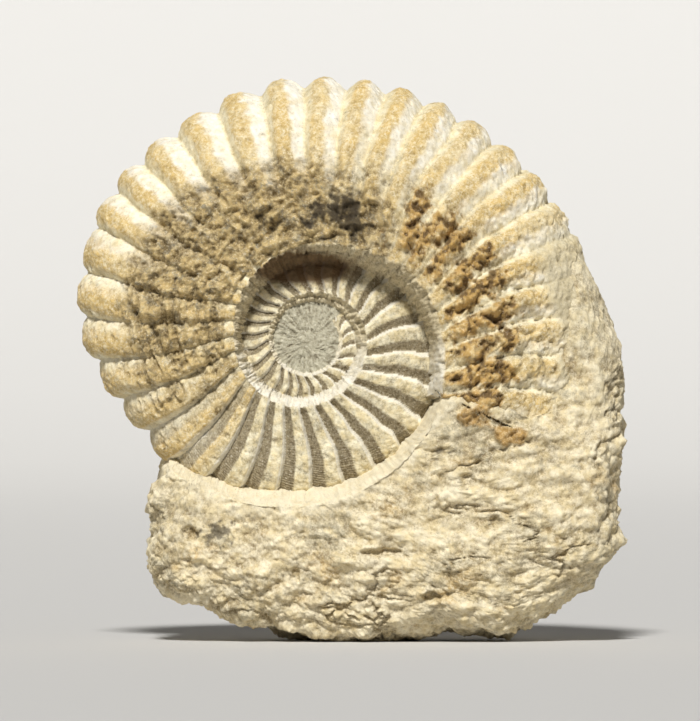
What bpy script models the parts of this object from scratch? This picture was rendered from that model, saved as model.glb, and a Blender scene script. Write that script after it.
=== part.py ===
"""Fossil ammonite set in its block of matrix, standing on a small flat spot.

The face of the coil looks towards -Y, +Z is up, and the origin is on the ground below the middle
of the specimen. Sizes are in millimetres and bearings in degrees: a bearing is measured round the
coil axis from +X towards +Z, and it keeps growing as the spiral winds inwards, so one point of the
spiral has one bearing.
"""

import math

import bmesh
import bpy
import numpy as np

MM = 0.001

# Where the coil axis stands, and where the ground cuts the foot of the block
COIL_X = -10.4
COIL_Z = 75.0
GROUND_BOX = 260.0

# The outer whorl ends at this bearing, where the block hides its broken end
END_BEARING = -25.0
DISC_BEARING = 760.0

# Inner foot and shoulder of each whorl's wall, as bearing and radius
WHORL_FOOT = (
    (-25, 32.5), (0, 29.5), (30, 25.6), (60, 21.2), (90, 19.0), (120, 17.8), (180, 16.0),
    (240, 15.0), (300, 13.0), (360, 11.8), (410, 10.5), (450, 9.6), (540, 8.6), (660, 7.9),
    (760, 7.8),
)
WHORL_SHOULDER = (
    (-25, 36.2), (0, 33.8), (30, 31.2), (60, 26.5), (90, 24.2), (120, 22.0), (150, 20.0),
    (180, 18.4), (240, 17.6), (300, 15.6), (360, 14.8), (410, 13.4), (450, 12.0), (540, 9.8),
    (660, 8.8), (760, 8.4),
)

# A wall is steep up to this share of its width, and a bevel takes this share of its height
WALL_STEEP = 0.5
WALL_BEVEL = 0.3

# Radius of the outer edge over the rib crests, as far in as the block or the next whorl hides it
WHORL_RIM = (
    (-25, 75.3), (0, 73.8), (20, 71.8), (40, 70.2), (60, 68.2), (80, 66.5), (100, 65.2),
    (120, 63.2), (140, 62.5), (150, 62.0), (160, 60.2), (170, 58.8), (180, 56.4), (190, 53.0),
    (200, 50.0), (210, 47.8), (222, 47.5), (240, 44.5), (270, 41.5), (300, 39.5), (335, 37.0),
)
HIDDEN_RIM = 1.13

# The block starts to hide the rim here, and the rounded flank turns into a full one over an arc
RIM_HIDES = 222.0
FULL_FLANK_FROM, FULL_FLANK_ARC = 205.0, 40.0

# Half the thickness of the whorl, from the middle plane to the flank
WHORL_HALF = (
    (-25, 23.6), (0, 23.6), (90, 21.3), (180, 18.4), (225, 15.6), (270, 15.0), (360, 13.8),
    (450, 12.0), (540, 11.0), (640, 10.4), (700, 10.0), (760, 9.6),
)
OUTER_FLANK, OUTER_ROUND = 2.5, 0.5
HIDDEN_FLANK, HIDDEN_ROUND = 5.0, 0.4

# Ribs: how many lie between bearing 5 and each bearing, and how deep the grooves between them are
RIB_COUNT = (
    (-30, -4), (5, 0), (47, 5), (91, 10), (133, 14), (152, 16), (174.5, 18), (222, 22), (285, 27),
    (340, 31), (384, 34), (454, 39), (485, 41), (534.5, 45), (564, 47), (595, 49), (632.5, 52),
    (662, 54), (698, 56), (765, 60),
)
RIB_DEPTH = (
    (-25, 2.2), (60, 2.4), (200, 2.6), (240, 2.0), (360, 1.9), (420, 1.4), (500, 1.1), (640, 0.9),
    (700, 0.8), (735, 0.3), (760, 0.0),
)
END_PLAIN = 3.0
RIB_CREST = 0.74
RIB_CREST_AT_RIM = 0.58
RIB_BREADTH = 0.7
RIB_BEND = 9.0
RIB_STRAIGHT = 0.6
RIB_CREST_TURNS = 0.5

# Ribs fade in from the shoulder over a share of the flank, which is shorter on inner whorls
RIB_START, INNER_RIB_START = 0.25, 0.06
INNER_RIBS_FROM, INNER_RIBS_ARC = 200.0, 80.0
RIB_AT_SHOULDER = 0.35
RIB_UP_WALL = 0.8

# The worn patch above the umbilicus, where the ribs are nearly gone
WORN_BEARING, WORN_ARC = 100.0, 50.0
WORN_RADIUS, WORN_REACH = 32.0, 13.0
WORN_LOSS = 0.8

# The back of the coil: a shallow hollow full of rock, with weathered ribs round it
BACK_HALF = ((-25, 23.6), (90, 21.5), (180, 18.8), (222, 17.0), (300, 18.0), (335, 21.0))
BACK_HOLLOW = 15.5
BACK_HOLLOW_EDGE = 6.0
BACK_FLANK = 5.0
BACK_HIDES = 6.0
BACK_RIB_SHARE = 0.45
BACK_RIB_START = 0.3
FILLED_RIB_START = 0.2

# The block: its outline, its front and back faces, and where its collar meets the coil
BLOCK_EDGE = (
    (214, 39.0), (219, 45.0), (222, 51.5), (225, 57.2), (230, 61.4), (235, 70.3), (240, 72.9),
    (250, 71.2), (260, 72.8), (270, 74.4), (280, 77.6), (290, 79.4), (295, 80.6), (300, 85.6),
    (305, 89.8), (315, 92.4), (322, 94.2), (326, 93.6), (330, 89.6), (340, 82.8), (350, 79.6),
    (358, 78.0), (365, 75.2), (371, 72.4), (378, 69.6), (384, 62.0), (392, 50.0),
)
BLOCK_FRONT = (
    (214, 14.0), (225, 16.5), (245, 19.5), (270, 21.5), (300, 22.5), (325, 22.0), (337, 21.2),
    (342, 19.8), (350, 18.2), (362, 17.2), (375, 15.2), (392, 11.0),
)
BLOCK_BACK = (
    (214, 14.0), (225, 17.0), (245, 21.0), (270, 23.0), (300, 23.6), (325, 23.0), (340, 20.5),
    (360, 17.0), (392, 11.0),
)
COLLAR_FOOT = (
    (214, 45.5), (222, 43.2), (240, 37.5), (270, 33.6), (300, 32.9), (322, 33.0), (339, 33.8),
    (342.5, 54.0), (351, 56.5), (360, 57.5), (370, 59.5), (392, 61.0),
)
COLLAR_WIDTH = (
    (214, 2.5), (222, 4.0), (240, 7.0), (270, 7.5), (300, 5.5), (322, 4.0), (338, 3.4), (346, 8.0),
    (392, 8.0),
)
BACK_COLLAR_FOOT, BACK_COLLAR_WIDTH = 20.0, 5.0
CORE_HALF = 4.0
CORE_REACH = 0.7
BLOCK_EDGE_POWER = 9.0
BLOCK_EDGE_ROUND = 0.32
BLOCK_FLAT = 0.72

# Lumps of the rock: size across and height of each layer, and which pattern
ROCK_LUMPS, ROCK_PATTERN = ((22.0, 1.1), (9.0, 0.7)), 41
COIL_LUMPS, COIL_PATTERN = ((14.0, 0.35),), 11
WORN_LUMPS, WORN_PATTERN = ((7.0, 1.0),), 23

# Fineness of the lofts, the share of stations on each flat face, and the faces that are kept
COIL_STEPS, COIL_STATIONS, COIL_FACE, COIL_KEPT = 540, 200, 0.45, 0.0262
BLOCK_STEPS, BLOCK_STATIONS, BLOCK_FACE, BLOCK_KEPT = 300, 120, 0.6, 0.030
BLOCK_SEAM = 120.0

# Clearance between the two solids, and how near two points are joined
CLEARANCE = 0.55
WELD = 0.02

COLOURS = {
    "ammonite": ((0.62, 0.48, 0.28, 1.0), 0.85),
    "matrix": ((0.72, 0.62, 0.44, 1.0), 0.92),
}


def curve_through(knots, bearing):
    """Smooth curve through (bearing, value) knots that never swings past a knot."""
    at, value = (np.array(column, float) for column in zip(*knots))
    slope = np.diff(value) / np.diff(at)
    before, after = slope[:-1], slope[1:]
    same_way = before * after > 0
    middle = np.where(same_way, 2 * before * after / np.where(same_way, before + after, 1.0), 0.0)
    tangent = np.concatenate((slope[:1], middle, slope[-1:]))
    x = np.clip(bearing, at[0], at[-1])
    i = np.clip(np.searchsorted(at, x, side="right") - 1, 0, len(slope) - 1)
    span = at[i + 1] - at[i]
    s = (x - at[i]) / span
    return (
        value[i] * (1 + 2 * s) * (1 - s) ** 2
        + value[i + 1] * s**2 * (3 - 2 * s)
        + span * s * (1 - s) * (tangent[i] * (1 - s) - tangent[i + 1] * s)
    )


def ease(x):
    """Smooth step from 0 at x = 0 to 1 at x = 1."""
    x = np.clip(x, 0.0, 1.0)
    return x * x * (3 - 2 * x)


def hump(x, middle, reach):
    """Smooth hump of height 1 at middle that ends at reach on both sides."""
    return ease(1 - np.abs(x - middle) / reach)


def lattice(cell, seed):
    """Fixed pseudo-random value between -1 and 1 for each integer cell."""
    mixed = cell[0] * 374761393 + cell[1] * 668265263 + cell[2] * 1442695041 + seed * 974634777
    mixed = (mixed ^ (mixed >> 13)) * 1274126177
    mixed = mixed ^ (mixed >> 16)
    return (mixed & 65535) / 32767.5 - 1.0


def lumps(points, size, seed):
    """Smooth lumps between -1 and 1, of the given size, at an array of points."""
    scaled = points / size
    cell = np.floor(scaled).astype(np.int64)
    share = scaled - cell
    share = share * share * (3 - 2 * share)
    total = np.zeros(len(points))
    for corner in range(8):
        step = np.array([corner & 1, corner >> 1 & 1, corner >> 2 & 1])
        weight = np.prod(np.where(step, share, 1 - share), axis=1)
        total += weight * lattice((cell + step).T, seed)
    return total


def layered(points, layers, seed):
    """Sum of lump layers."""
    return sum(
        height * lumps(points, size, seed + number) for number, (size, height) in enumerate(layers)
    )


def spiral_bearing(bearing):
    """Bearing round the axis, brought into the turn that starts at the end of the shell."""
    return (bearing - END_BEARING) % 360 + END_BEARING


def rim_radius(bearing):
    """Radius of a whorl's outer edge, also where the next whorl hides it."""
    seen = curve_through(WHORL_RIM, bearing)
    hidden = HIDDEN_RIM * curve_through(WHORL_FOOT, bearing - 360)
    return np.where(bearing < WHORL_RIM[-1][0], seen, hidden)


def whorl_at(bearing, radius):
    """Unwound bearing of the whorl that shows at a place on the face of the coil."""
    unwound = bearing.copy()
    for _ in range(2):
        deeper = (radius < curve_through(WHORL_FOOT, unwound)) & (unwound < DISC_BEARING)
        unwound = np.where(deeper, unwound + 360, unwound)
    return unwound


def flank(unwound, radius):
    """Height of a whorl's flank without ribs, and how far across the flank the place is."""
    shoulder = curve_through(WHORL_SHOULDER, unwound)
    across = np.clip((radius - shoulder) / (rim_radius(unwound) - shoulder), 0.0, 1.0)
    full = ease((unwound - FULL_FLANK_FROM) / FULL_FLANK_ARC)
    power = OUTER_FLANK + (HIDDEN_FLANK - OUTER_FLANK) * full
    rounding = OUTER_ROUND + (HIDDEN_ROUND - OUTER_ROUND) * full
    height = curve_through(WHORL_HALF, unwound) * (1 - across**power) ** rounding
    return height, across


def groove(unwound, across):
    """Depth of the grooves between ribs, 0 on a crest. Each rib leans towards the shell's start."""
    bend = RIB_BEND * np.clip(1 - across / RIB_STRAIGHT, 0, 1) ** 2
    phase = curve_through(RIB_COUNT, unwound + bend) % 1.0
    to_rim = ease((across - RIB_CREST_TURNS) / (1 - RIB_CREST_TURNS))
    crest = RIB_CREST + (RIB_CREST_AT_RIM - RIB_CREST) * to_rim
    rise = np.sin(0.5 * math.pi * np.minimum(phase / crest, 1.0))
    fall = np.cos(0.5 * math.pi * np.maximum(phase - crest, 0.0) / (1 - crest))
    breadth = 1 + (RIB_BREADTH - 1) * (unwound < WHORL_RIM[-1][0])
    relief = np.maximum(np.where(phase < crest, rise, fall), 0.0) ** breadth
    inner = ease((unwound - INNER_RIBS_FROM) / INNER_RIBS_ARC)
    starts = RIB_START + (INNER_RIB_START - RIB_START) * inner
    strength = RIB_AT_SHOULDER + (1 - RIB_AT_SHOULDER) * ease(across / starts)
    return curve_through(RIB_DEPTH, unwound) * strength * (1 - relief)


def worn(bearing, radius):
    """How worn the ribs are, from 0 to 1."""
    return hump(bearing, WORN_BEARING, WORN_ARC) * hump(radius, WORN_RADIUS, WORN_REACH)


def up_the_wall(share):
    """Rise of a whorl's wall, from 0 at its foot: steep at first, then a bevel to the shoulder."""
    return (1 - WALL_BEVEL) * ease(share / WALL_STEEP) + WALL_BEVEL * np.clip(share, 0, 1)


def coil_front(bearing, radius):
    """Height of the coil's face above the middle plane, and the depth of its grooves."""
    unwound = whorl_at(bearing, radius)
    height, across = flank(unwound, radius)
    inner_height, _ = flank(unwound + 360, radius)
    foot = curve_through(WHORL_FOOT, unwound)
    shoulder = curve_through(WHORL_SHOULDER, unwound)
    up_wall = up_the_wall((radius - foot) / (shoulder - foot))
    is_disc = unwound >= DISC_BEARING
    up_wall = np.where(is_disc, 1.0, up_wall)
    flat_disc = WHORL_HALF[-1][1]
    height = np.where(is_disc, flat_disc, inner_height + (height - inner_height) * up_wall)
    ribbed = np.where(is_disc, 0.0, ease((up_wall - RIB_UP_WALL) / (1 - RIB_UP_WALL)))
    cut = groove(unwound, across) * ribbed
    return height, cut * (1 - WORN_LOSS * worn(bearing, radius))


def filled_front(bearing, radius):
    """As coil_front, but with the umbilicus filled up to the outermost whorl's flank."""
    height, across = flank(bearing, radius)
    return height, groove(bearing, across) * ease(across / FILLED_RIB_START)


def coil_section(bearing, station, front):
    """Radius, height and groove depth at stations 0 to 1: face centre, rim, back centre."""
    rim = rim_radius(bearing)
    hidden_turn = (bearing - RIM_HIDES) / (END_BEARING + 360 - RIM_HIDES)
    shoulder = curve_through(WHORL_SHOULDER, bearing)
    end_shoulder = WHORL_SHOULDER[0][1]
    split = np.where(
        hidden_turn > 0,
        shoulder + (end_shoulder - shoulder) * np.clip(hidden_turn, 0, 1),
        shoulder,
    )
    inward = 1 - np.abs(2 * station - 1)
    turn = 0.5 * math.pi * np.clip((inward - COIL_FACE) / (1 - COIL_FACE), 0, 1)
    radius = np.where(
        inward < COIL_FACE, split * inward / COIL_FACE, split + (rim - split) * np.sin(turn)
    )
    height, cut = front(bearing, np.minimum(radius, rim))
    across = np.clip((radius - split) / (rim - split), 0, 1)
    back = curve_through(BACK_HALF, bearing)
    hidden = ease(hidden_turn * BACK_HIDES)
    power = BACK_FLANK + (HIDDEN_FLANK - BACK_FLANK) * hidden
    round_back = back * (1 - np.minimum(radius / rim, 1.0) ** power) ** 0.5
    hollow = (np.minimum(radius / split, 1.0)) ** BACK_HOLLOW_EDGE
    back_height = BACK_HOLLOW + (round_back - BACK_HOLLOW) * hollow
    back_ribs = BACK_RIB_SHARE + (1 - BACK_RIB_SHARE) * across**3
    back_cut = cut * back_ribs * ease(across / BACK_RIB_START)
    is_front = station <= 0.5
    return radius, np.where(is_front, height, -back_height), np.where(is_front, cut, back_cut)


def block_section(bearing, station):
    """Radius and height of the block at stations 0 to 1: face centre, outer edge, back centre."""
    in_block = curve_through(BLOCK_EDGE, bearing)
    core = CORE_REACH * curve_through(WHORL_RIM, spiral_bearing(bearing))
    outside = (bearing < BLOCK_EDGE[0][0]) | (bearing > BLOCK_EDGE[-1][0])
    edge = np.where(outside, core, in_block)
    inward = 1 - np.abs(2 * station - 1)
    turn = 0.5 * math.pi * np.clip((inward - BLOCK_FACE) / (1 - BLOCK_FACE), 0, 1)
    flat_edge = BLOCK_FLAT * edge
    radius = np.where(
        inward < BLOCK_FACE,
        flat_edge * inward / BLOCK_FACE,
        flat_edge + (edge - flat_edge) * np.sin(turn),
    )
    is_front = station <= 0.5
    foot = np.where(is_front, curve_through(COLLAR_FOOT, bearing), BACK_COLLAR_FOOT)
    width = np.where(is_front, curve_through(COLLAR_WIDTH, bearing), BACK_COLLAR_WIDTH)
    face = np.where(
        is_front, curve_through(BLOCK_FRONT, bearing), curve_through(BLOCK_BACK, bearing)
    )
    face = np.where(outside, CORE_HALF, face)
    up_collar = ease((radius - foot) / width)
    rounding = (1 - np.minimum(radius / edge, 1.0) ** BLOCK_EDGE_POWER) ** BLOCK_EDGE_ROUND
    height = (CORE_HALF + (face - CORE_HALF) * up_collar) * rounding
    return radius, np.where(is_front, height, -height), up_collar


def place(bearing, radius, height):
    """Points of the specimen, in millimetres, from polar places about the coil axis."""
    angle = np.radians(bearing)
    return np.column_stack(
        (COIL_X + radius * np.cos(angle), -height, COIL_Z + radius * np.sin(angle))
    )


def sphere_grid(name, steps, stations):
    """Mesh of a UV sphere with its axis along Y, and the bearing and station of each vertex."""
    mesh = bpy.data.meshes.new(name)
    shape = bmesh.new()
    bmesh.ops.create_uvsphere(shape, u_segments=steps, v_segments=stations, radius=1.0)
    shape.to_mesh(mesh)
    shape.free()
    ball = np.empty(len(mesh.vertices) * 3)
    mesh.vertices.foreach_get("co", ball)
    ball = ball.reshape(-1, 3)
    bearing = np.degrees(np.arctan2(ball[:, 1], ball[:, 0]))
    station = np.arccos(np.clip(ball[:, 2], -1, 1)) / math.pi
    return mesh, bearing, station


def surface_normals(mesh):
    """Unit normals of a mesh's vertices."""
    normals = np.empty(len(mesh.vertices) * 3)
    mesh.vertex_normals.foreach_get("vector", normals)
    return normals.reshape(-1, 3)


def set_points(mesh, points):
    """Moves the vertices of a mesh to points given in millimetres."""
    mesh.vertices.foreach_set("co", (points * MM).ravel())
    mesh.update()


def add_object(name, mesh, collection):
    """New object of a mesh in a collection."""
    item = bpy.data.objects.new(name, mesh)
    collection.objects.link(item)
    return item


def keep_faces(item, share):
    """Decimate modifier that keeps the given share of the faces."""
    thin = item.modifiers.new("fewer faces", "DECIMATE")
    thin.ratio = share
    return thin


def coil_mesh(name, front, grow):
    """Loft of the coil round its axis, with ribs cut along the normals, grown by a clearance."""
    mesh, bearing, station = sphere_grid(name, COIL_STEPS, COIL_STATIONS)
    bearing = spiral_bearing(bearing)
    radius, height, cut = coil_section(bearing, station, front)
    points = place(bearing, radius, height)
    set_points(mesh, points)
    wear = worn(bearing, radius) * (station < 0.5)
    from_end = np.minimum(bearing - END_BEARING, END_BEARING + 360 - bearing)
    outwards = layered(points, COIL_LUMPS, COIL_PATTERN) - cut
    outwards += wear * layered(points, WORN_LUMPS, WORN_PATTERN)
    outwards *= ease(from_end / END_PLAIN)
    points += surface_normals(mesh) * (outwards + grow)[:, None]
    set_points(mesh, points)
    return mesh


def build_coil(collection):
    """The ammonite."""
    coil = add_object("ammonite", coil_mesh("ammonite", coil_front, 0.0), collection)
    keep_faces(coil, COIL_KEPT)
    return coil


def build_block(collection):
    """The block of matrix before its socket and foot are cut."""
    mesh, bearing, station = sphere_grid("matrix", BLOCK_STEPS, BLOCK_STATIONS)
    bearing = (bearing - BLOCK_SEAM) % 360 + BLOCK_SEAM
    radius, height, up_collar = block_section(bearing, station)
    points = place(bearing, radius, height)
    set_points(mesh, points)
    outwards = layered(points, ROCK_LUMPS, ROCK_PATTERN) * up_collar
    points += surface_normals(mesh) * outwards[:, None]
    set_points(mesh, points)
    block = add_object("matrix", mesh, collection)
    keep_faces(block, BLOCK_KEPT)
    return block


def add_cutter(name, mesh, collection):
    """New object that only cuts."""
    cutter = add_object(name, mesh, collection)
    cutter.hide_render = True
    cutter.display_type = "WIRE"
    return cutter


def socket_cutter(collection):
    """The ammonite grown by the clearance, for the socket that it sits in."""
    cutter = add_cutter("socket", coil_mesh("socket", filled_front, CLEARANCE), collection)
    keep_faces(cutter, COIL_KEPT)
    return cutter


def ground_cutter(collection):
    """Box below the ground, for the flat spot."""
    mesh = bpy.data.meshes.new("ground")
    shape = bmesh.new()
    bmesh.ops.create_cube(shape, size=GROUND_BOX * MM)
    shape.to_mesh(mesh)
    shape.free()
    cutter = add_cutter("ground", mesh, collection)
    cutter.location = (0, 0, -0.5 * GROUND_BOX * MM)
    return cutter


def cut_with(item, cutter, solver="EXACT"):
    """Boolean difference."""
    cut = item.modifiers.new(cutter.name, "BOOLEAN")
    cut.operation = "DIFFERENCE"
    cut.solver = solver
    cut.object = cutter


def largest_body(item, collection):
    """Replaces an object by its largest connected body, without the chips that a cut leaves."""
    graph = bpy.context.evaluated_depsgraph_get()
    mesh = bpy.data.meshes.new_from_object(item.evaluated_get(graph))
    shape = bmesh.new()
    shape.from_mesh(mesh)
    bmesh.ops.remove_doubles(shape, verts=shape.verts, dist=WELD * MM)
    bmesh.ops.dissolve_degenerate(shape, edges=shape.edges, dist=WELD * MM)
    bmesh.ops.triangulate(shape, faces=shape.faces)
    left = set(shape.verts)
    bodies = []
    while left:
        body, front = set(), [left.pop()]
        while front:
            vertex = front.pop()
            body.add(vertex)
            near = {edge.other_vert(vertex) for edge in vertex.link_edges} & left
            left -= near
            front.extend(near)
        bodies.append(body)
    largest = max(bodies, key=len)
    chips = [vertex for body in bodies if body is not largest for vertex in body]
    bmesh.ops.delete(shape, geom=chips, context="VERTS")
    shape.to_mesh(mesh)
    shape.free()
    name = item.name
    bpy.data.objects.remove(item)
    mesh.name = name
    return add_object(name, mesh, collection)


def finish(item):
    """Own material and smooth shading for a sub-part."""
    colour, roughness = COLOURS[item.name]
    material = bpy.data.materials.new(item.name)
    material.use_nodes = True
    shader = material.node_tree.nodes["Principled BSDF"]
    shader.inputs["Base Color"].default_value = colour
    shader.inputs["Roughness"].default_value = roughness
    item.data.materials.clear()
    item.data.materials.append(material)
    item.data.shade_smooth()


def main():
    """Builds the specimen."""
    for item in list(bpy.data.objects):
        bpy.data.objects.remove(item)
    specimen = bpy.data.collections.new("fossil ammonite")
    cutters = bpy.data.collections.new("cutters")
    for collection in (specimen, cutters):
        bpy.context.scene.collection.children.link(collection)
    coil = build_coil(specimen)
    block = build_block(specimen)
    cut_with(block, ground_cutter(cutters))
    cut_with(block, socket_cutter(cutters), "MANIFOLD")
    block = largest_body(block, specimen)
    finish(coil)
    finish(block)


main()
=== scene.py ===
"""Looks of the fossil ammonite: carved and weathered relief, stone finishes, studio and camera.

Lengths inside the forms are millimetres and bearings are degrees round the coil axis, as on the
solids, so that the fine surfaces lie on them. They become metres when a mesh is made.
"""

import logging
import math
from dataclasses import dataclass, field
from enum import Enum
from typing import Callable

import bpy
import numpy as np
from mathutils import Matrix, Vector


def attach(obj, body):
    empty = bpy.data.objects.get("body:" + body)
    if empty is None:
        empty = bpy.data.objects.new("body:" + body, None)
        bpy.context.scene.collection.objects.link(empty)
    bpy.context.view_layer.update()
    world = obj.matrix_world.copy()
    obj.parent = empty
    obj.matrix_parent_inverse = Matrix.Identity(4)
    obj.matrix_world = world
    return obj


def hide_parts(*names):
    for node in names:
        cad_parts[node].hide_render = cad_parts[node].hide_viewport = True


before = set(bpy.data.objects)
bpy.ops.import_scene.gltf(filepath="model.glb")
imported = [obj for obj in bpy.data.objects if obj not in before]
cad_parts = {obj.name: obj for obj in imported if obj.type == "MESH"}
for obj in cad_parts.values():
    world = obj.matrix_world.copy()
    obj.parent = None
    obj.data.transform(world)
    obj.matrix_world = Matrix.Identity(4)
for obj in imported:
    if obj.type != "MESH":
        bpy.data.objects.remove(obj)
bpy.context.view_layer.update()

LOG = logging.getLogger("ammonite")
MM = 0.001
QUARTER_TURN = 0.5 * math.pi
# Depth up to which the faces are left alone, and how far the bumps may pass it.
FACE_REACH = 24.2
BUMP_REACH = 1.0
# Share under which a patch counts as absent.
LEAST_SHARE = 0.02
Array = np.ndarray
Made = list[bpy.types.Object]
Knots = tuple[tuple[float, float], ...]
Layers = tuple[tuple[float, float], ...]


class Node(Enum):
    """Solids of the frame that the fine surfaces stand for."""

    AMMONITE = "ammonite"
    MATRIX = "matrix"


class Slot(Enum):
    """Material slots of the record."""

    FOSSIL = "fossil_limestone"
    MATRIX = "matrix_limestone"


class Mask(Enum):
    """Named shares, 0 to 1 at each vertex, that the finishes read."""

    CREST = "crest"
    # Chalk in the grooves and on the collar, with the painted highlight on the lower walls.
    CHALK = "chalk"
    CARVED = "carved"
    WALL = "wall"
    WORN = "worn"
    CRUST = "crust"
    STAIN = "stain"
    DISC = "disc"
    # Painted shade in hollows, pits and cracks, with the real dark streaks on the walls.
    PIT = "pit"
    FILL = "fill"
    ROCK = "rock"
    # Brown at the top of the sunken centre: partly the stone's own brown, partly painted shadow.
    BROWN = "brown"
    # Grey patches of the block, and painted shade over its right margin.
    GREY = "grey"
    OCHRE = "ochre"


def ease(x: Array) -> Array:
    """Smooth step from 0 at x = 0 to 1 at x = 1."""
    x = np.clip(x, 0.0, 1.0)
    return x * x * (3 - 2 * x)


def held(depth: Array) -> Array:
    """Depth of the faces, with the highest bumps pressed down a little.

    Args:
        depth: signed distance of each vertex from the middle plane.

    Returns:
        The same, nowhere past the two reaches together.
    """
    over = np.maximum(np.abs(depth) - FACE_REACH, 0.0)
    bump = BUMP_REACH * (1 - np.exp(-over / BUMP_REACH))
    return np.sign(depth) * (np.minimum(np.abs(depth), FACE_REACH) + bump)


@dataclass(frozen=True)
class Step:
    """Smooth step along a measure, from 0 at start to 1 at end, whichever of them is larger."""

    start: float
    end: float

    def __call__(self, measure: Array) -> Array:
        """Share of the step at each measure."""
        return ease((measure - self.start) / (self.end - self.start))


@dataclass(frozen=True)
class Hump:
    """Smooth hump along a measure, 1 in the middle, that ends at reach on both sides."""

    middle: float
    reach: float

    def __call__(self, measure: Array) -> Array:
        """Height of the hump at each measure."""
        return ease(1 - np.abs(measure - self.middle) / self.reach)


@dataclass(frozen=True)
class Patch:
    """Smooth oval patch on the face: x and z of its middle, its reach along both, its weight."""

    middle: tuple[float, float]
    reach: tuple[float, float]
    weight: float = 1.0

    def over(self, points: Array) -> Array:
        """The weight in the middle of the patch, falling to 0 at its edge.

        Args:
            points: places in millimetres.

        Returns:
            A share at each place.
        """
        across = (points[:, 0] - self.middle[0]) / self.reach[0]
        up = (points[:, 2] - self.middle[1]) / self.reach[1]
        return self.weight * ease(1 - np.hypot(across, up))


@dataclass(frozen=True)
class Curve:
    """Smooth curve through (bearing, value) knots that never swings past a knot."""

    knots: Knots

    def __call__(self, bearing: Array) -> Array:
        """Value at each bearing.

        Args:
            bearing: places along the curve.

        Returns:
            A value for each of them.
        """
        at, value = (np.array(column, float) for column in zip(*self.knots))
        slope = np.diff(value) / np.diff(at)
        before, after = slope[:-1], slope[1:]
        same_way = before * after > 0
        total = np.where(same_way, before + after, 1.0)
        middle = np.where(same_way, 2 * before * after / total, 0.0)
        tangent = np.concatenate((slope[:1], middle, slope[-1:]))
        x = np.clip(bearing, at[0], at[-1])
        i = np.clip(np.searchsorted(at, x, side="right") - 1, 0, len(slope) - 1)
        span = at[i + 1] - at[i]
        s = (x - at[i]) / span
        return (
            value[i] * (1 + 2 * s) * (1 - s) ** 2
            + value[i + 1] * s**2 * (3 - 2 * s)
            + span * s * (1 - s) * (tangent[i] * (1 - s) - tangent[i + 1] * s)
        )


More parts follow.
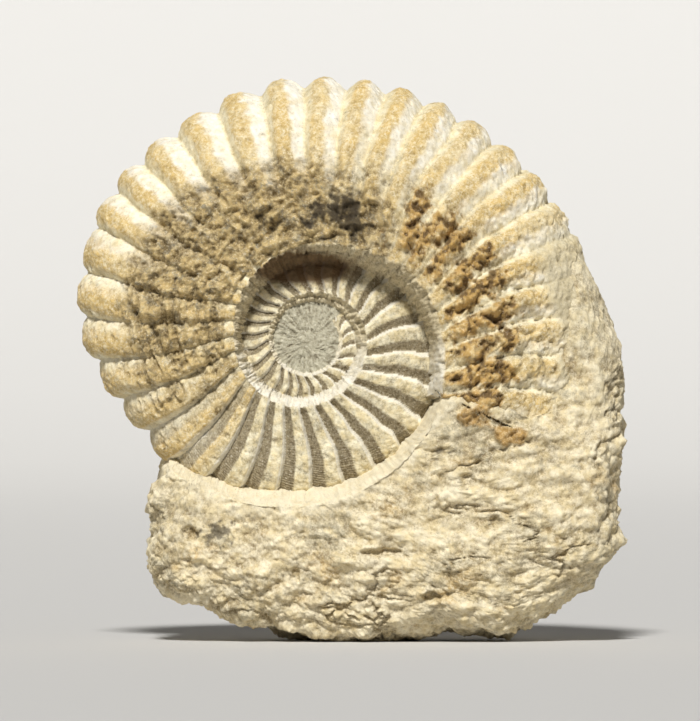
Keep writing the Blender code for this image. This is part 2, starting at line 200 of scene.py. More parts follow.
class Grain:
    """Repeatable rock textures, worked out at any place in space."""

    @staticmethod
    def hashed(cell: Array, seed: int) -> Array:
        """Fixed pseudo-random value between -1 and 1 for each integer cell.

        Args:
            cell: three rows of whole numbers.
            seed: which pattern.

        Returns:
            A value for each cell.
        """
        mixed = cell[0] * 374761393 + cell[1] * 668265263 + cell[2] * 1442695041 + seed * 974634777
        mixed = (mixed ^ (mixed >> 13)) * 1274126177
        mixed = mixed ^ (mixed >> 16)
        return (mixed & 65535) / 32767.5 - 1.0

    @classmethod
    def lumps(cls, points: Array, size: float, seed: int) -> Array:
        """Smooth lumps between -1 and 1.

        Args:
            points: places in millimetres.
            size: distance from one lump to the next.
            seed: which pattern.

        Returns:
            A height at each place.
        """
        scaled = points / size
        cell = np.floor(scaled).astype(np.int64)
        share = scaled - cell
        share = share * share * (3 - 2 * share)
        total = np.zeros(len(points))
        for corner in range(8):
            step = np.array([corner & 1, corner >> 1 & 1, corner >> 2 & 1])
            weight = np.prod(np.where(step, share, 1 - share), axis=1)
            total += weight * cls.hashed((cell + step).T, seed)
        return total

    @classmethod
    def layered(cls, points: Array, layers: Layers, seed: int) -> Array:
        """Sum of lump layers, each a size and a height."""
        parts = (h * cls.lumps(points, size, seed + n) for n, (size, h) in enumerate(layers))
        return sum(parts)

    @classmethod
    def waves(cls, points: Array, size: float, seed: int) -> Array:
        """Gradient noise, about -1 to 1, with no flat tops.

        Args:
            points: places in millimetres.
            size: distance from one lump to the next.
            seed: which pattern.

        Returns:
            A value at each place.
        """
        scaled = points / size
        cell = np.floor(scaled).astype(np.int64)
        share = scaled - cell
        smooth = share * share * share * (share * (share * 6 - 15) + 10)
        total = np.zeros(len(points))
        for corner in range(8):
            step = np.array([corner & 1, corner >> 1 & 1, corner >> 2 & 1])
            weight = np.prod(np.where(step, smooth, 1 - smooth), axis=1)
            at = (cell + step).T
            away = share - step
            slope = sum(cls.hashed(at, seed + 71 * k) * away[:, k] for k in range(3))
            total += weight * slope
        return total * 1.35

    @classmethod
    def octaves(
        cls, points: Array, size: float, count: int, seed: int,
        form: Callable[[Array], Array], fall: float, finer: float, next_seed: int,
    ) -> Array:
        """Mean of ever finer and weaker layers of gradient noise.

        Args:
            points: places in millimetres.
            size: distance from one lump to the next in the first layer.
            count: number of layers.
            seed: which pattern.
            form: what is made of the noise of each layer.
            fall: weight of each layer, a share of the one before.
            finer: how many times finer each layer is than the one before.
            next_seed: step of the seed from layer to layer.

        Returns:
            A value at each place.
        """
        total, weight = np.zeros(len(points)), 0.0
        for octave in range(count):
            noise = cls.waves(points, size / finer**octave, seed + next_seed * octave)
            total += fall**octave * form(noise)
            weight += fall**octave
        return total / weight

    @classmethod
    def fractal(cls, points: Array, size: float, count: int, seed: int) -> Array:
        """Rough rock, about -1 to 1."""
        return cls.octaves(points, size, count, seed, np.array, fall=0.55, finer=2.03, next_seed=13)

    @classmethod
    def ridged(cls, points: Array, size: float, count: int, seed: int) -> Array:
        """Sharp broken ridges, -0.5 to 0.5."""
        def ridge(noise: Array) -> Array:
            """Narrow ridge where the noise passes 0."""
            return (1 - np.minimum(np.abs(noise) * 1.6, 1.0)) ** 2

        ridges = cls.octaves(points, size, count, seed, ridge, fall=0.6, finer=2.07, next_seed=17)
        return ridges - 0.5

    @classmethod
    def billow(cls, points: Array, size: float, count: int, seed: int) -> Array:
        """Rounded lumps with sharp creases between them, about -0.5 to 0.5."""
        lumps = cls.octaves(points, size, count, seed, np.abs, fall=0.6, finer=2.03, next_seed=19)
        return 2.2 * lumps - 0.5

    @classmethod
    def nearest(cls, points: Array, size: float, seed: int) -> tuple[Array, Array]:
        """Distance to the nearest scattered grain.

        Args:
            points: places in millimetres.
            size: mean distance between grains.
            seed: which scatter.

        Returns:
            The distance as a share of size, and that grain's own random value, 0 to 1.
        """
        scaled = points / size
        cell = np.floor(scaled).astype(np.int64)
        best = np.full(len(points), 9.0)
        own = np.zeros(len(points))
        for number in range(27):
            step = np.array([number % 3 - 1, number // 3 % 3 - 1, number // 9 - 1])
            at = (cell + step).T
            jitter = np.column_stack([cls.hashed(at, seed + 101 * k) * 0.5 + 0.5 for k in range(3)])
            gap = np.linalg.norm(cell + step + jitter - scaled, axis=1)
            closer = gap < best
            best = np.where(closer, gap, best)
            own = np.where(closer, cls.hashed(at, seed + 977) * 0.5 + 0.5, own)
        return best, own


class Grid(Enum):
    """Places that a texture is read at: in space, by bearing and radius, or along the whorl."""

    SPACE = "space"
    POLAR = "polar"
    WHORL = "whorl"


@dataclass(frozen=True)
class Texture:
    """A rock texture: its kind, size, octaves and seed, how its grid is stretched and which."""

    kind: Callable[..., Array]
    size: float
    octaves: int
    seed: int
    stretch: tuple[float, float, float] = (1.0, 1.0, 1.0)
    grid: Grid = Grid.SPACE

    def at(self, grids: dict[Grid, Array]) -> Array:
        """Height at each place."""
        return self.kind(grids[self.grid] * np.array(self.stretch), self.size, self.octaves, self.seed)


Textures = dict[Enum, Array]
Mix = tuple[tuple[Enum, float], ...]


def textures(
    kinds: type[Enum], points: Array, bearing: Array, radius: Array, height: Array
) -> Textures:
    """Works out every texture of a stone.

    Args:
        kinds: the stone's textures.
        points: places in space.
        bearing: bearing of each place.
        radius: distance of each place from the coil axis.
        height: height of each place in front of the middle plane.

    Returns:
        The height of each texture at each place.
    """
    grids = {
        Grid.SPACE: points,
        Grid.POLAR: np.column_stack((bearing, radius, height)),
        Grid.WHORL: np.column_stack((radius, np.radians(bearing) * radius, height)),
    }
    return {kind: kind.value.at(grids) for kind in kinds}


def blend(t: Textures, heights: Mix) -> Array:
    """Sum of textures, each times its own height."""
    return sum(height * t[kind] for kind, height in heights)


@dataclass(frozen=True)
class Fray:
    """Cut through a measure, with an edge that textures fray."""

    cut: Step
    frayed_by: Mix

    def __call__(self, measure: Array, t: Textures) -> Array:
        """Share of the cut at each place."""
        return self.cut(measure + blend(t, self.frayed_by))

    def within(self, share: Array, t: Textures) -> Array:
        """The same, but nowhere outside the patches that the share belongs to."""
        return self(share, t) * (share > LEAST_SHARE)


@dataclass
class Rings:
    """Mesh of closed rings round the coil axis, each with as many points as its length needs."""

    stations: Array
    counts: list[int]
    spread: Curve | None = None
    bearing: Array = field(init=False)
    station: Array = field(init=False)
    starts: list[int] = field(init=False)

    def __post_init__(self) -> None:
        """Lays out the bearing and station of every vertex."""
        bearings, stations, starts, start = [], [], [], 0
        for station, count in zip(self.stations, self.counts):
            turn = np.arange(count) / count * 360.0
            bearings.append(self.spread(turn) if self.spread and count > 1 else turn)
            stations.append(np.full(count, station))
            starts.append(start)
            start += count
        self.bearing = np.concatenate(bearings)
        self.station = np.concatenate(stations)
        self.starts = starts

    @staticmethod
    def strip(first: int, many: int, second: int, more: int) -> Array:
        """Triangles between two neighbouring rings.

        Args:
            first: index of the first vertex of one ring.
            many: how many vertices that ring has.
            second: index of the first vertex of the next ring.
            more: how many vertices the next ring has.

        Returns:
            Rows of three vertex numbers.
        """
        faces = []
        if many > 1:
            i = np.arange(many)
            j = np.rint((i + 0.5) / many * more - 0.5).astype(int) + 1 if more > 1 else i * 0
            faces.append(np.column_stack((first + i, second + j % more, first + (i + 1) % many)))
        if more > 1:
            j = np.arange(more)
            if many > 1:
                after = np.rint((np.arange(many) + 0.5) / many * more - 0.5).astype(int) + 1
                i = np.searchsorted(after, j, side="right")
            else:
                i = j * 0
            faces.append(np.column_stack((second + j, second + (j + 1) % more, first + i % many)))
        return np.vstack(faces)

    def faces(self, low: int, high: int) -> Array:
        """Triangles of the rings from number low to number high."""
        strips = [
            self.strip(self.starts[n], self.counts[n], self.starts[n + 1], self.counts[n + 1])
            for n in range(low, high)
        ]
        return np.vstack(strips)


@dataclass
class Surface:
    """A finished closed surface: points, faces by piece, normals and masks."""

    points: Array
    faces: dict[str, Array]
    masks: dict[Mask, Array]

    def vertex_normals(self) -> Array:
        """Area-weighted normals over all pieces together, so that no seam shows between them.

        Returns:
            A unit vector for each vertex.
        """
        faces = np.vstack(list(self.faces.values()))
        a, b, c = (self.points[faces[:, k]] for k in range(3))
        flat = np.cross(b - a, c - a)
        total = np.zeros_like(self.points)
        for k in range(3):
            for axis in range(3):
                total[:, axis] += np.bincount(faces[:, k], flat[:, axis], len(total))
        return total / np.maximum(np.linalg.norm(total, axis=1), 1e-12)[:, None]

    def pieces(self, material: bpy.types.Material, node: Node, slot: Slot) -> Made:
        """Makes one object for each piece.

        Args:
            material: the finish of all of them.
            node: the solid that they stand for.
            slot: the record's slot for their finish; not used.

        Returns:
            The objects.
        """
        normals = self.vertex_normals()
        made = []
        for name, faces in self.faces.items():
            used, local = np.unique(faces, return_inverse=True)
            mesh = bpy.data.meshes.new(name)
            mesh.vertices.add(len(used))
            mesh.vertices.foreach_set("co", (self.points[used] * MM).ravel())
            mesh.loops.add(faces.size)
            mesh.loops.foreach_set("vertex_index", local.ravel().astype(np.int32))
            mesh.polygons.add(len(faces))
            mesh.polygons.foreach_set("loop_start", np.arange(0, faces.size, 3, dtype=np.int32))
            mesh.update(calc_edges=True)
            mesh.shade_smooth()
            mesh.normals_split_custom_set_from_vertices(normals[used].tolist())
            for mask, values in self.masks.items():
                layer = mesh.attributes.new(mask.value, "FLOAT", "POINT")
                layer.data.foreach_set("value", values[used].astype(np.float32))
            mesh.materials.append(material)
            piece = bpy.data.objects.new(name, mesh)
            bpy.context.scene.collection.objects.link(piece)
            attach(piece, "root")
            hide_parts(node.value)
            made.append(piece)
        return made


@dataclass
class Spiral:
    """Sizes of the coil, the same as those of its solid."""

    axis_x: float = -10.4
    axis_z: float = 75.0
    end: float = -25.0
    disc: float = 760.0
    foot: Curve = Curve((
        (-25, 32.5), (0, 29.5), (30, 25.6), (60, 21.2), (90, 19.0), (120, 17.8), (180, 16.0),
        (240, 15.0), (300, 13.0), (360, 11.8), (410, 10.5), (450, 9.6), (540, 8.6), (660, 7.9),
        (760, 7.8),
    ))
    shoulder: Curve = Curve((
        (-25, 36.2), (0, 33.8), (30, 31.2), (60, 26.5), (90, 24.2), (120, 22.0), (150, 20.0),
        (180, 18.4), (240, 17.6), (300, 15.6), (360, 14.8), (410, 13.4), (450, 12.0), (540, 9.8),
        (660, 8.8), (760, 8.4),
    ))
    rim: Curve = Curve((
        (-25, 75.3), (0, 73.8), (20, 71.8), (40, 70.2), (60, 68.2), (80, 66.5), (100, 65.2),
        (120, 63.2), (140, 62.5), (150, 62.0), (160, 60.2), (170, 58.8), (180, 56.4), (190, 53.0),
        (200, 50.0), (210, 47.8), (222, 47.5), (240, 44.5), (270, 41.5), (300, 39.5), (335, 37.0),
    ))
    wall_power: float = 2.4
    hidden_rim: float = 1.13
    half: Curve = Curve((
        (-25, 23.6), (0, 23.6), (90, 21.3), (180, 18.4), (225, 15.6), (270, 15.0), (360, 13.8),
        (450, 12.0), (540, 11.0), (640, 10.4), (700, 10.0), (760, 9.6),
    ))
    outer_flank: float = 2.5
    hidden_flank: float = 5.0
    flank_hides: Step = Step(205, 245)
    hidden_from: float = 222.0
    disc_slack: float = 0.2
    end_plain: float = 3.0
    back_half: Curve = Curve(
        ((-25, 23.6), (90, 21.5), (180, 18.8), (222, 17.0), (300, 18.0), (335, 21.0))
    )
    back_hollow: float = 15.5
    back_hollow_edge: float = 6.0
    back_flank: float = 5.0
    back_rib_share: float = 0.45
    back_rib_start: float = 0.3
    back_hides: Step = Step(0, 1 / 6)

    def turn(self, bearing: Array) -> Array:
        """Bearing brought into the turn that starts at the end of the shell."""
        return (bearing - self.end) % 360 + self.end

    def rim_radius(self, bearing: Array) -> Array:
        """Radius of a whorl's outer edge, also where the next whorl hides it."""
        hidden = self.hidden_rim * self.foot(bearing - 360)
        return np.where(bearing < self.rim.knots[-1][0], self.rim(bearing), hidden)

    def up_the_wall(self, share: Array) -> Array:
        """Rise of a whorl's wall from its foot: steep at first, then easing to the shoulder."""
        return 1 - (1 - np.clip(share, 0, 1)) ** self.wall_power

    def whorl_at(self, bearing: Array, radius: Array) -> Array:
        """Unwound bearing of the whorl that shows at a place on the face.

        Args:
            bearing: bearing of each place.
            radius: its distance from the coil axis.

        Returns:
            The bearing, plus a full turn for each whorl further in.
        """
        unwound = bearing.copy()
        for _ in range(2):
            deeper = (radius < self.foot(unwound)) & (unwound < self.disc)
            unwound = np.where(deeper, unwound + 360, unwound)
        return unwound

    def flank(self, unwound: Array, radius: Array) -> tuple[Array, Array]:
        """Height of a whorl's flank without ribs, and how far across it each place is.

        Args:
            unwound: bearing counted on along the spiral.
            radius: distance from the coil axis.

        Returns:
            The heights, and shares from 0 at the shoulder to 1 at the rim.
        """
        shoulder = self.shoulder(unwound)
        across = np.clip((radius - shoulder) / (self.rim_radius(unwound) - shoulder), 0.0, 1.0)
        hidden = self.flank_hides(unwound)
        power = self.outer_flank + (self.hidden_flank - self.outer_flank) * hidden
        return self.half(unwound) * (1 - across**power) ** (0.5 - 0.1 * hidden), across

    def place(self, bearing: Array, radius: Array, height: Array) -> Array:
        """Points in millimetres from polar places about the coil axis.

        Args:
            bearing: bearing of each place.
            radius: its distance from the coil axis.
            height: its height in front of the middle plane.

        Returns:
            Rows of x, y and z.
        """
        angle = np.radians(bearing)
        x = self.axis_x + radius * np.cos(angle)
        return np.column_stack((x, -height, self.axis_z + radius * np.sin(angle)))

    def back_height(self, bearing: Array, out: Array, inner: Array, hidden_turn: Array) -> Array:
        """Height of the back.

        Args:
            bearing: bearing of each place.
            out: radius as a share of the rim's.
            inner: radius as a share of the shoulder's.
            hidden_turn: share of the turn under the matrix, below 0 before it.

        Returns:
            A height, rounded at the rim and with a hollow in the middle.
        """
        power = self.back_flank + (self.hidden_flank - self.back_flank) * self.back_hides(hidden_turn)
        round_back = self.back_half(bearing) * (1 - np.minimum(out, 1.0) ** power) ** 0.5
        hollow = np.minimum(inner, 1.0) ** self.back_hollow_edge
        return self.back_hollow + (round_back - self.back_hollow) * hollow

    def back_ribs(self, across: Array) -> Array:
        """Strength of the ribs on the back, a share of the face's."""
        share = self.back_rib_share + (1 - self.back_rib_share) * across**3
        return share * ease(across / self.back_rib_start)


@dataclass
class Ribs:
    """Ribs of the coil: their count along the spiral, their form and their depth."""

    count: Curve = Curve((
        (-30, -4), (5, 0), (47, 5), (91, 10), (133, 14), (152, 16), (174.5, 18), (222, 22),
        (285, 27), (340, 31), (384, 34), (454, 39), (485, 41), (534.5, 45), (564, 47), (595, 49),
        (632.5, 52), (662, 54), (698, 56), (765, 60),
    ))
    depth: Curve = Curve((
        (-25, 2.2), (60, 2.4), (200, 2.6), (240, 2.0), (360, 1.9), (420, 1.4), (500, 1.1),
        (640, 0.9), (700, 0.8), (735, 0.3), (760, 0.0),
    ))
    crest: float = 0.74
    crest_at_rim: float = 0.58
    crest_moves: Step = Step(0.5, 1.0)
    bend: float = 9.0
    straight_from: float = 0.6
    breadth: float = 0.7
    broad_until: float = 335.0
    narrowed: Hump = Hump(88.0, 75.0)
    narrow_breadth: float = 1.1
    narrow_depth: float = 0.3
    narrow_from: Step = Step(0.6, 1.0)
    rounded: Step = Step(250, 190)
    carved_form: Knots = (
        (0.0, 0.0), (0.06, 0.06), (0.38, 0.72), (0.50, 0.86), (0.82, 1.0), (0.93, 0.62), (1.0, 0.0),
    )
    full_from: float = 0.25
    inner_full_from: float = 0.06
    inner_whorls: Step = Step(200, 280)
    foot_strength: float = 0.35
    outer_wobble: float = 0.7
    inner_wobble: float = 1.5
    wobble_change: Step = Step(260, 300)
    outer_change: Step = Step(260, 220)

    def wobble(self, places: Array, unwound: Array) -> Array:
        """Small uneven shift of the ribs, in degrees."""
        outer = self.outer_wobble * Grain.waves(places, size=9.0, seed=301)
        inner = self.inner_wobble * Grain.waves(places, size=5.0, seed=303)
        return outer * self.outer_change(unwound) + inner * self.wobble_change(unwound)

    def cut(self, unwound: Array, across: Array, wobble: Array) -> tuple[Array, Array, Array]:
        """Works out the ribs at places on the coil.

        Args:
            unwound: bearing counted on along the spiral.
            across: how far across the whorl, 0 at its wall and 1 at its rim.
            wobble: small shift of the ribs, in degrees.

        Returns:
            Phase within the rib, height of the rib from 0 to 1, and depth of the groove.
        """
        bend = self.bend * np.clip(1 - across / self.straight_from, 0, 1) ** 2
        phase = self.count(unwound + bend + wobble) % 1.0
        crest = self.crest + (self.crest_at_rim - self.crest) * self.crest_moves(across)
        rise = np.sin(QUARTER_TURN * np.minimum(phase / crest, 1.0))
        fall = np.cos(QUARTER_TURN * np.maximum(phase - crest, 0.0) / (1 - crest))
        narrow = self.narrowed(unwound)
        breadth = self.breadth + (self.narrow_breadth - self.breadth) * narrow
        breadth = np.where(unwound < self.broad_until, breadth, 1.0)
        round_rib = np.maximum(np.where(phase < crest, rise, fall), 0.0) ** breadth
        rounded = self.rounded(unwound)
        rib = round_rib * rounded + np.interp(phase, *zip(*self.carved_form)) * (1 - rounded)
        starts = self.full_from + (self.inner_full_from - self.full_from) * self.inner_whorls(unwound)
        strength = self.foot_strength + (1 - self.foot_strength) * ease(across / starts)
        deeper = 1 + self.narrow_depth * narrow * self.narrow_from(across)
        return phase, rib, self.depth(unwound) * strength * deeper * (1 - rib)


@dataclass
class RingForm:
    """A closed form laid out in rings: dense over the face and round the edge, coarser behind."""

    spiral: Spiral = field(default_factory=Spiral)
    face_rings: int = 300
    back_rings: int = 90
    face_spacing: float = 0.30
    back_spacing: float = 0.62
    face_share: float = 0.42
    flat_share: float = 0.42
    mean_radius: float = 62.0
    spread: Curve | None = None
    packing: float = 1.0

    @property
    def middle_rings(self) -> int:
        """How many rings lie on the inner part of the face."""
        return round(self.face_rings * self.face_share)

    @property
    def all_rings(self) -> int:
        """Number of the last ring."""
        return self.face_rings + self.back_rings

    def radii(self, station: Array, flat: Array | float, edge: Array | float) -> Array:
        """Radius of each station: even over the inner part, then crowding towards the edge.

        Args:
            station: 0 in the middle of the face, 0.5 at the edge, 1 in the middle of the back.
            flat: radius at which the inner part ends.
            edge: radius of the edge.

        Returns:
            A radius for each station.
        """
        inward = 1 - np.abs(2 * station - 1)
        turn = QUARTER_TURN * np.clip((inward - self.face_share) / (1 - self.face_share), 0, 1)
        even = flat * inward / self.face_share
        crowding = flat + (edge - flat) * np.sin(turn)
        return np.minimum(np.where(inward < self.face_share, even, crowding), edge)

    def rings(self) -> Rings:
        """Rings from the middle of the face over the edge to the middle of the back.

        Returns:
            The rings, each with as many points as its length needs.
        """
        face = np.linspace(0.0, 0.5, self.face_rings + 1)
        back = np.linspace(0.5, 1.0, self.back_rings + 1)[1:]
        stations = np.concatenate((face, back))
        radius = self.radii(stations, self.flat_share * self.mean_radius, self.mean_radius)
        spacing = np.where(stations <= 0.5, self.face_spacing, self.back_spacing)
        counts = np.maximum(np.rint(2 * math.pi * radius * self.packing / spacing), 1)
        return Rings(stations, counts.astype(int).tolist(), self.spread)


@dataclass
class Places:
    """What is known of each vertex of the coil before its relief is cut."""

    bearing: Array
    radius: Array
    height: Array
    unwound: Array
    across: Array
    on_wall: Array
    phase: Array
    rib: Array
    groove: Array
    front: Array
    disc: Array


class Stone(Enum):
    """Textures of the fossil's stone."""

    BROAD = Texture(Grain.fractal, 11.0, 4, 401)
    BLOT = Texture(Grain.fractal, 4.5, 4, 405)
    FINE = Texture(Grain.fractal, 1.8, 3, 409)
    COARSE = Texture(Grain.fractal, 5.0, 3, 31)
    ROUGH = Texture(Grain.fractal, 2.8, 3, 37)
    LUMPY = Texture(Grain.billow, 2.4, 4, 43)
    FLAKES = Texture(Grain.fractal, 4.0, 5, 57, (1.3, 0.8, 1.0), Grid.WHORL)
    KNOBS = Texture(Grain.billow, 8.0, 3, 61)
    CHIPPED = Texture(Grain.fractal, 1.7, 3, 63)
    JAGS = Texture(Grain.ridged, 5.0, 3, 67)
    CLOTS = Texture(Grain.billow, 5.5, 4, 97)
    BREAKS = Texture(Grain.fractal, 7.0, 3, 101)
    FIBRES = Texture(Grain.fractal, 1.0, 3, 163, (0.22, 0.35, 0.0), Grid.POLAR)
    KNOTS = Texture(Grain.billow, 3.2, 4, 165)
    SKIN = Texture(Grain.fractal, 1.4, 3, 167)
    CHISEL = Texture(Grain.fractal, 0.8, 4, 171, (0.4, 0.22, 0.0), Grid.POLAR)
    STREAKS = Texture(Grain.fractal, 0.45, 3, 173, (0.4, 0.22, 0.0), Grid.POLAR)


@dataclass
class Coil(RingForm):
    """The ammonite: ribs, carved inner whorls, worn patch, ochre crust and weathered back."""

    ribs: Ribs = field(default_factory=Ribs)
    flank_share: float = 0.74
    wall_top: Step = Step(0.8, 1.0)
    outer_whorl: Step = Step(236, 224)
    outer_fades: Step = Step(236, 196)
    worn_bearing: Hump = Hump(100.0, 50.0)
    worn_radius: Hump = Hump(32.0, 13.0)
    worn_loss: float = 0.8
    filled: Patch = Patch((-12.0, 94.0), (20.0, 8.0), 0.8)
    filled_from: float = 250.0
    crest_edge: Fray = Fray(Step(0.45, 0.85), ((Stone.BLOT, 0.3),))
    worn_along: Hump = Hump(118.0, 112.0)
    worn_left: Hump = Hump(145.0, 60.0)
    worn_right: Hump = Hump(55.0, 40.0)
    worn_heights: tuple[float, float, float] = (44.0, 5.5, 4.0)
    worn_fade: Step = Step(6.0, -6.0)
    worn_floor: tuple[float, float] = (20.0, 2.5)
    worn_edge: Fray = Fray(Step(0.12, 0.87), ((Stone.BLOT, 0.6), (Stone.BROAD, 0.45)))
    crust_middle: tuple[float, float] = (44.0, 5.0)
    crust_moves: Step = Step(15, 55)
    crust_width: Step = Step(13, 4)
    crust_ends: Step = Step(66, 44)
    crust_on_rib: Fray = Fray(Step(0.30, 0.90), ((Stone.BLOT, 0.7),))
    crust_in_groove: float = 0.55
    crust_edge: Fray = Fray(
        Step(0.45, 0.85), ((Stone.BLOT, 1.1), (Stone.FINE, 0.7), (Stone.BROAD, 0.5))
    )
    stains: tuple[Patch, ...] = (
        Patch((-1.5, 109.0), (9.0, 7.0)), Patch((1.0, 103.0), (8.0, 4.5), 0.9),
        Patch((-9.0, 106.0), (7.0, 6.0), 0.6), Patch((-20.0, 103.0), (12.0, 9.0), 0.5),
    )
    stain_edge: Fray = Fray(Step(0.33, 0.78), ((Stone.FINE, 0.9), (Stone.BLOT, 0.6)))
    groove_side: Step = Step(0.02, 0.08)
    groove_end: Fray = Fray(Step(0.33, 0.49), ((Stone.BLOT, -0.25),))
    chalk_reach: Fray = Fray(Step(0.30, 0.75), ((Stone.BROAD, -0.45),))
    left_ribs: Step = Step(140, 180)
    left_line: Step = Step(0.10, 0.04)
    left_line_from: Step = Step(130, 170)
    chalk_top: Hump = Hump(95.0, 60.0)
    chalk_shares: tuple[float, float] = (0.55, 0.35)
    chalk_specks: Mix = ((Stone.FINE, 1.0), (Stone.BLOT, 0.5))
    chalk_fades: Step = Step(140, 170)
    chalk_left_loss: float = 0.75
    chalk_worn_loss: float = 0.6
    chalk_end_loss: float = 0.35
    rock_across: Fray = Fray(Step(0.62, 0.78), ((Stone.BROAD, -0.2),))
    rock_from: Step = Step(34, 10)
    rock_end: Step = Step(-14, -23)
    rock_end_share: float = 0.6
    # Painted highlight: the walls below the middle of the coil, which face up into the light, are painted
    # chalk-white.
    low_wall: Fray = Fray(Step(4, -10), ((Stone.BROAD, -6.0),))
    low_wall_chalk: tuple[float, float] = (0.75, 0.9)
    carved_line: Step = Step(0.84, 0.88)
    line_chalk: float = 0.8
    carved_side: Fray = Fray(Step(0.36, 0.43), ((Stone.BLOT, -0.06),))
    # Painted shadow: the shoulder's cast shadow over the top of the sunken centre is painted brown, along
    # with the stone's own brown there.
    shade: Patch = Patch((-12.5, 93.0), (20.5, 6.0))
    brown_share: tuple[float, float] = (2.4, 0.1)
    brown_fray: Mix = ((Stone.BLOT, 0.4),)
    fill_edge: Fray = Fray(Step(-0.1, 0.2), ((Stone.BLOT, 0.25),))
    coil_lumps: Layers = ((14.0, 0.35),)
    worn_lumps: Layers = ((7.0, 1.0),)
    rock_fade: float = 0.75
    worn_groove_fade: float = 0.45
    rough_whorl: Step = Step(240, 225)
    smoothing: float = 0.85
    inner_rough: float = 0.4
    skin: Mix = ((Stone.COARSE, 0.55), (Stone.ROUGH, 0.40), (Stone.LUMPY, 0.40))
    worn_relief: Mix = (
        (Stone.COARSE, 2.0), (Stone.FLAKES, 2.4), (Stone.ROUGH, 0.9), (Stone.KNOBS, 1.4),
        (Stone.CHIPPED, 0.9), (Stone.JAGS, 1.6),
    )
    crust_lump: float = 1.3
    crust_even: float = 0.4
    crust_grain: float = 0.5
    grain_edge: float = 0.6
    crust_near: Hump = Hump(8.0, 62.0)
    near_rock_loss: float = 0.9
    crust_clots: Mix = ((Stone.CLOTS, 2.2),)
    crust_breaks: Mix = ((Stone.CLOTS, 2.2), (Stone.BREAKS, 1.6))
    rock_relief: Mix = ((Stone.COARSE, 0.5), (Stone.LUMPY, 0.3))
    fill_relief: Mix = (
        (Stone.COARSE, 2.4), (Stone.BREAKS, 1.6), (Stone.ROUGH, 1.0), (Stone.LUMPY, 0.8)
    )
    fibre_core: float = 3.0
    disc_relief: Mix = ((Stone.FIBRES, 0.8), (Stone.KNOTS, 0.6))
    carved_relief: Mix = ((Stone.SKIN, 0.30),)
    wall_relief: Mix = ((Stone.CHISEL, 1.5), (Stone.LUMPY, 0.5), (Stone.ROUGH, 0.6))
    pit_share: float = 0.5
    pit_radius: tuple[float, float] = (0.24, 0.2)
    pit_wall: float = 0.14
    pit_depth: float = 0.35
    tool_spacing: float = 0.62
    tool_wobble: float = 0.6
    tool_depth: float = 0.08
    end_depth: float = 2.0
    end_reach: float = 6.0
    streaks_fade: Step = Step(280, 340)
    streak_loss: float = 0.7
    streak_share: tuple[float, float] = (0.12, 1.6)
    streak_chalk_loss: float = 0.5
    # Painted shade: how much darker the fibre grooves, the low parts of the relief, the pits and the worn
    # patch are painted.
    fibre_dark: float = 2.2
    hollow_base: float = 0.32
    pit_dark: float = 0.5
    worn_dark: float = 0.1
    crust_hollow: tuple[float, float] = (1.4, 0.45)
    hollow_skin: Mix = ((Stone.ROUGH, 0.9), (Stone.LUMPY, 0.9))
    hollow_worn: Mix = ((Stone.FLAKES, 1.8), (Stone.CHIPPED, 1.2))
    hollow_crust: Mix = ((Stone.CLOTS, 1.0), (Stone.CHIPPED, 0.8))
    clean_from: Step = Step(0.4, 0.7)
    pit_losses: tuple[float, float, float] = (0.6, 0.75, 0.25)

    def survey(self, rings: Rings) -> Places:
        """Works out where each vertex is on the coil.

        Args:
            rings: the rings of the coil's mesh.

        Returns:
            What is known of each vertex.
        """
        s = self.spiral
        bearing, station = s.turn(rings.bearing), rings.station
        rim, shoulder = s.rim_radius(bearing), s.shoulder(bearing)
        hidden_turn = (bearing - s.hidden_from) / (s.end + 360 - s.hidden_from)
        split = shoulder + (s.shoulder.knots[0][1] - shoulder) * np.clip(hidden_turn, 0, 1)
        radius = self.radii(station, split, rim)
        unwound = s.whorl_at(bearing, radius)
        height, across = s.flank(unwound, radius)
        inner_height, _ = s.flank(unwound + 360, radius)
        foot, wall_top = s.foot(unwound), s.shoulder(unwound)
        disc = ((unwound >= s.disc) | (radius < foot - s.disc_slack)).astype(float)
        on_wall = np.clip((radius - foot) / (wall_top - foot), 0.0, 1.0)
        up_wall = np.where(disc > 0, 1.0, s.up_the_wall(on_wall))
        height = inner_height + (height - inner_height) * up_wall
        height = np.where(disc > 0, s.half.knots[-1][1], height)
        rough = s.place(bearing, radius, height)
        phase, rib, groove = self.ribs.cut(unwound, across, self.ribs.wobble(rough, unwound))
        groove = groove * self.wall_top(up_wall) * (1 - disc)
        groove = groove * (1 - self.filled.over(rough) * (unwound > self.filled_from))
        groove = groove * (1 - self.worn_loss * self.worn_bearing(bearing) * self.worn_radius(radius))
        across_back = np.clip((radius - split) / (rim - split), 0, 1)
        front = station <= 0.5
        return Places(
            bearing, radius,
            np.where(front, height, -s.back_height(bearing, radius / rim, radius / split, hidden_turn)),
            unwound, np.where(front, across, across_back), on_wall, phase, rib,
            np.where(front, groove, groove * s.back_ribs(across_back)), front.astype(float), disc,
        )

    def worn(self, p: Places, t: Textures) -> Array:
        """Share of the worn brown patch.

        Args:
            p: where each vertex is on the coil.
            t: textures at the vertices.

        Returns:
            A share at each vertex.
        """
        high, left, right = self.worn_heights
        high = high + left * self.worn_left(p.bearing) - right * self.worn_right(p.bearing)
        worn = self.worn_fade(p.radius - high) * self.worn_along(p.bearing) ** 0.5
        floor, sway = self.worn_floor
        return self.worn_edge(worn, t) * (p.radius > floor + sway * np.sin(np.radians(p.bearing - 20)))

    def crust(self, p: Places, t: Textures, flank: Array) -> Array:
        """Share of the ochre crust along the right of the flank.

        Args:
            p: where each vertex is on the coil.
            t: textures at the vertices.
            flank: share of the outer whorl's flank.

        Returns:
            A share at each vertex.
        """
        middle = self.crust_middle[0] - self.crust_middle[1] * self.crust_moves(p.bearing)
        crust = self.crust_width(np.abs(p.radius - middle)) * self.crust_ends(p.bearing)
        grooves = self.crust_in_groove
        crust = crust * (grooves + (1 - grooves) * self.crust_on_rib(p.rib, t)) * flank
        return self.crust_edge.within(crust, t)

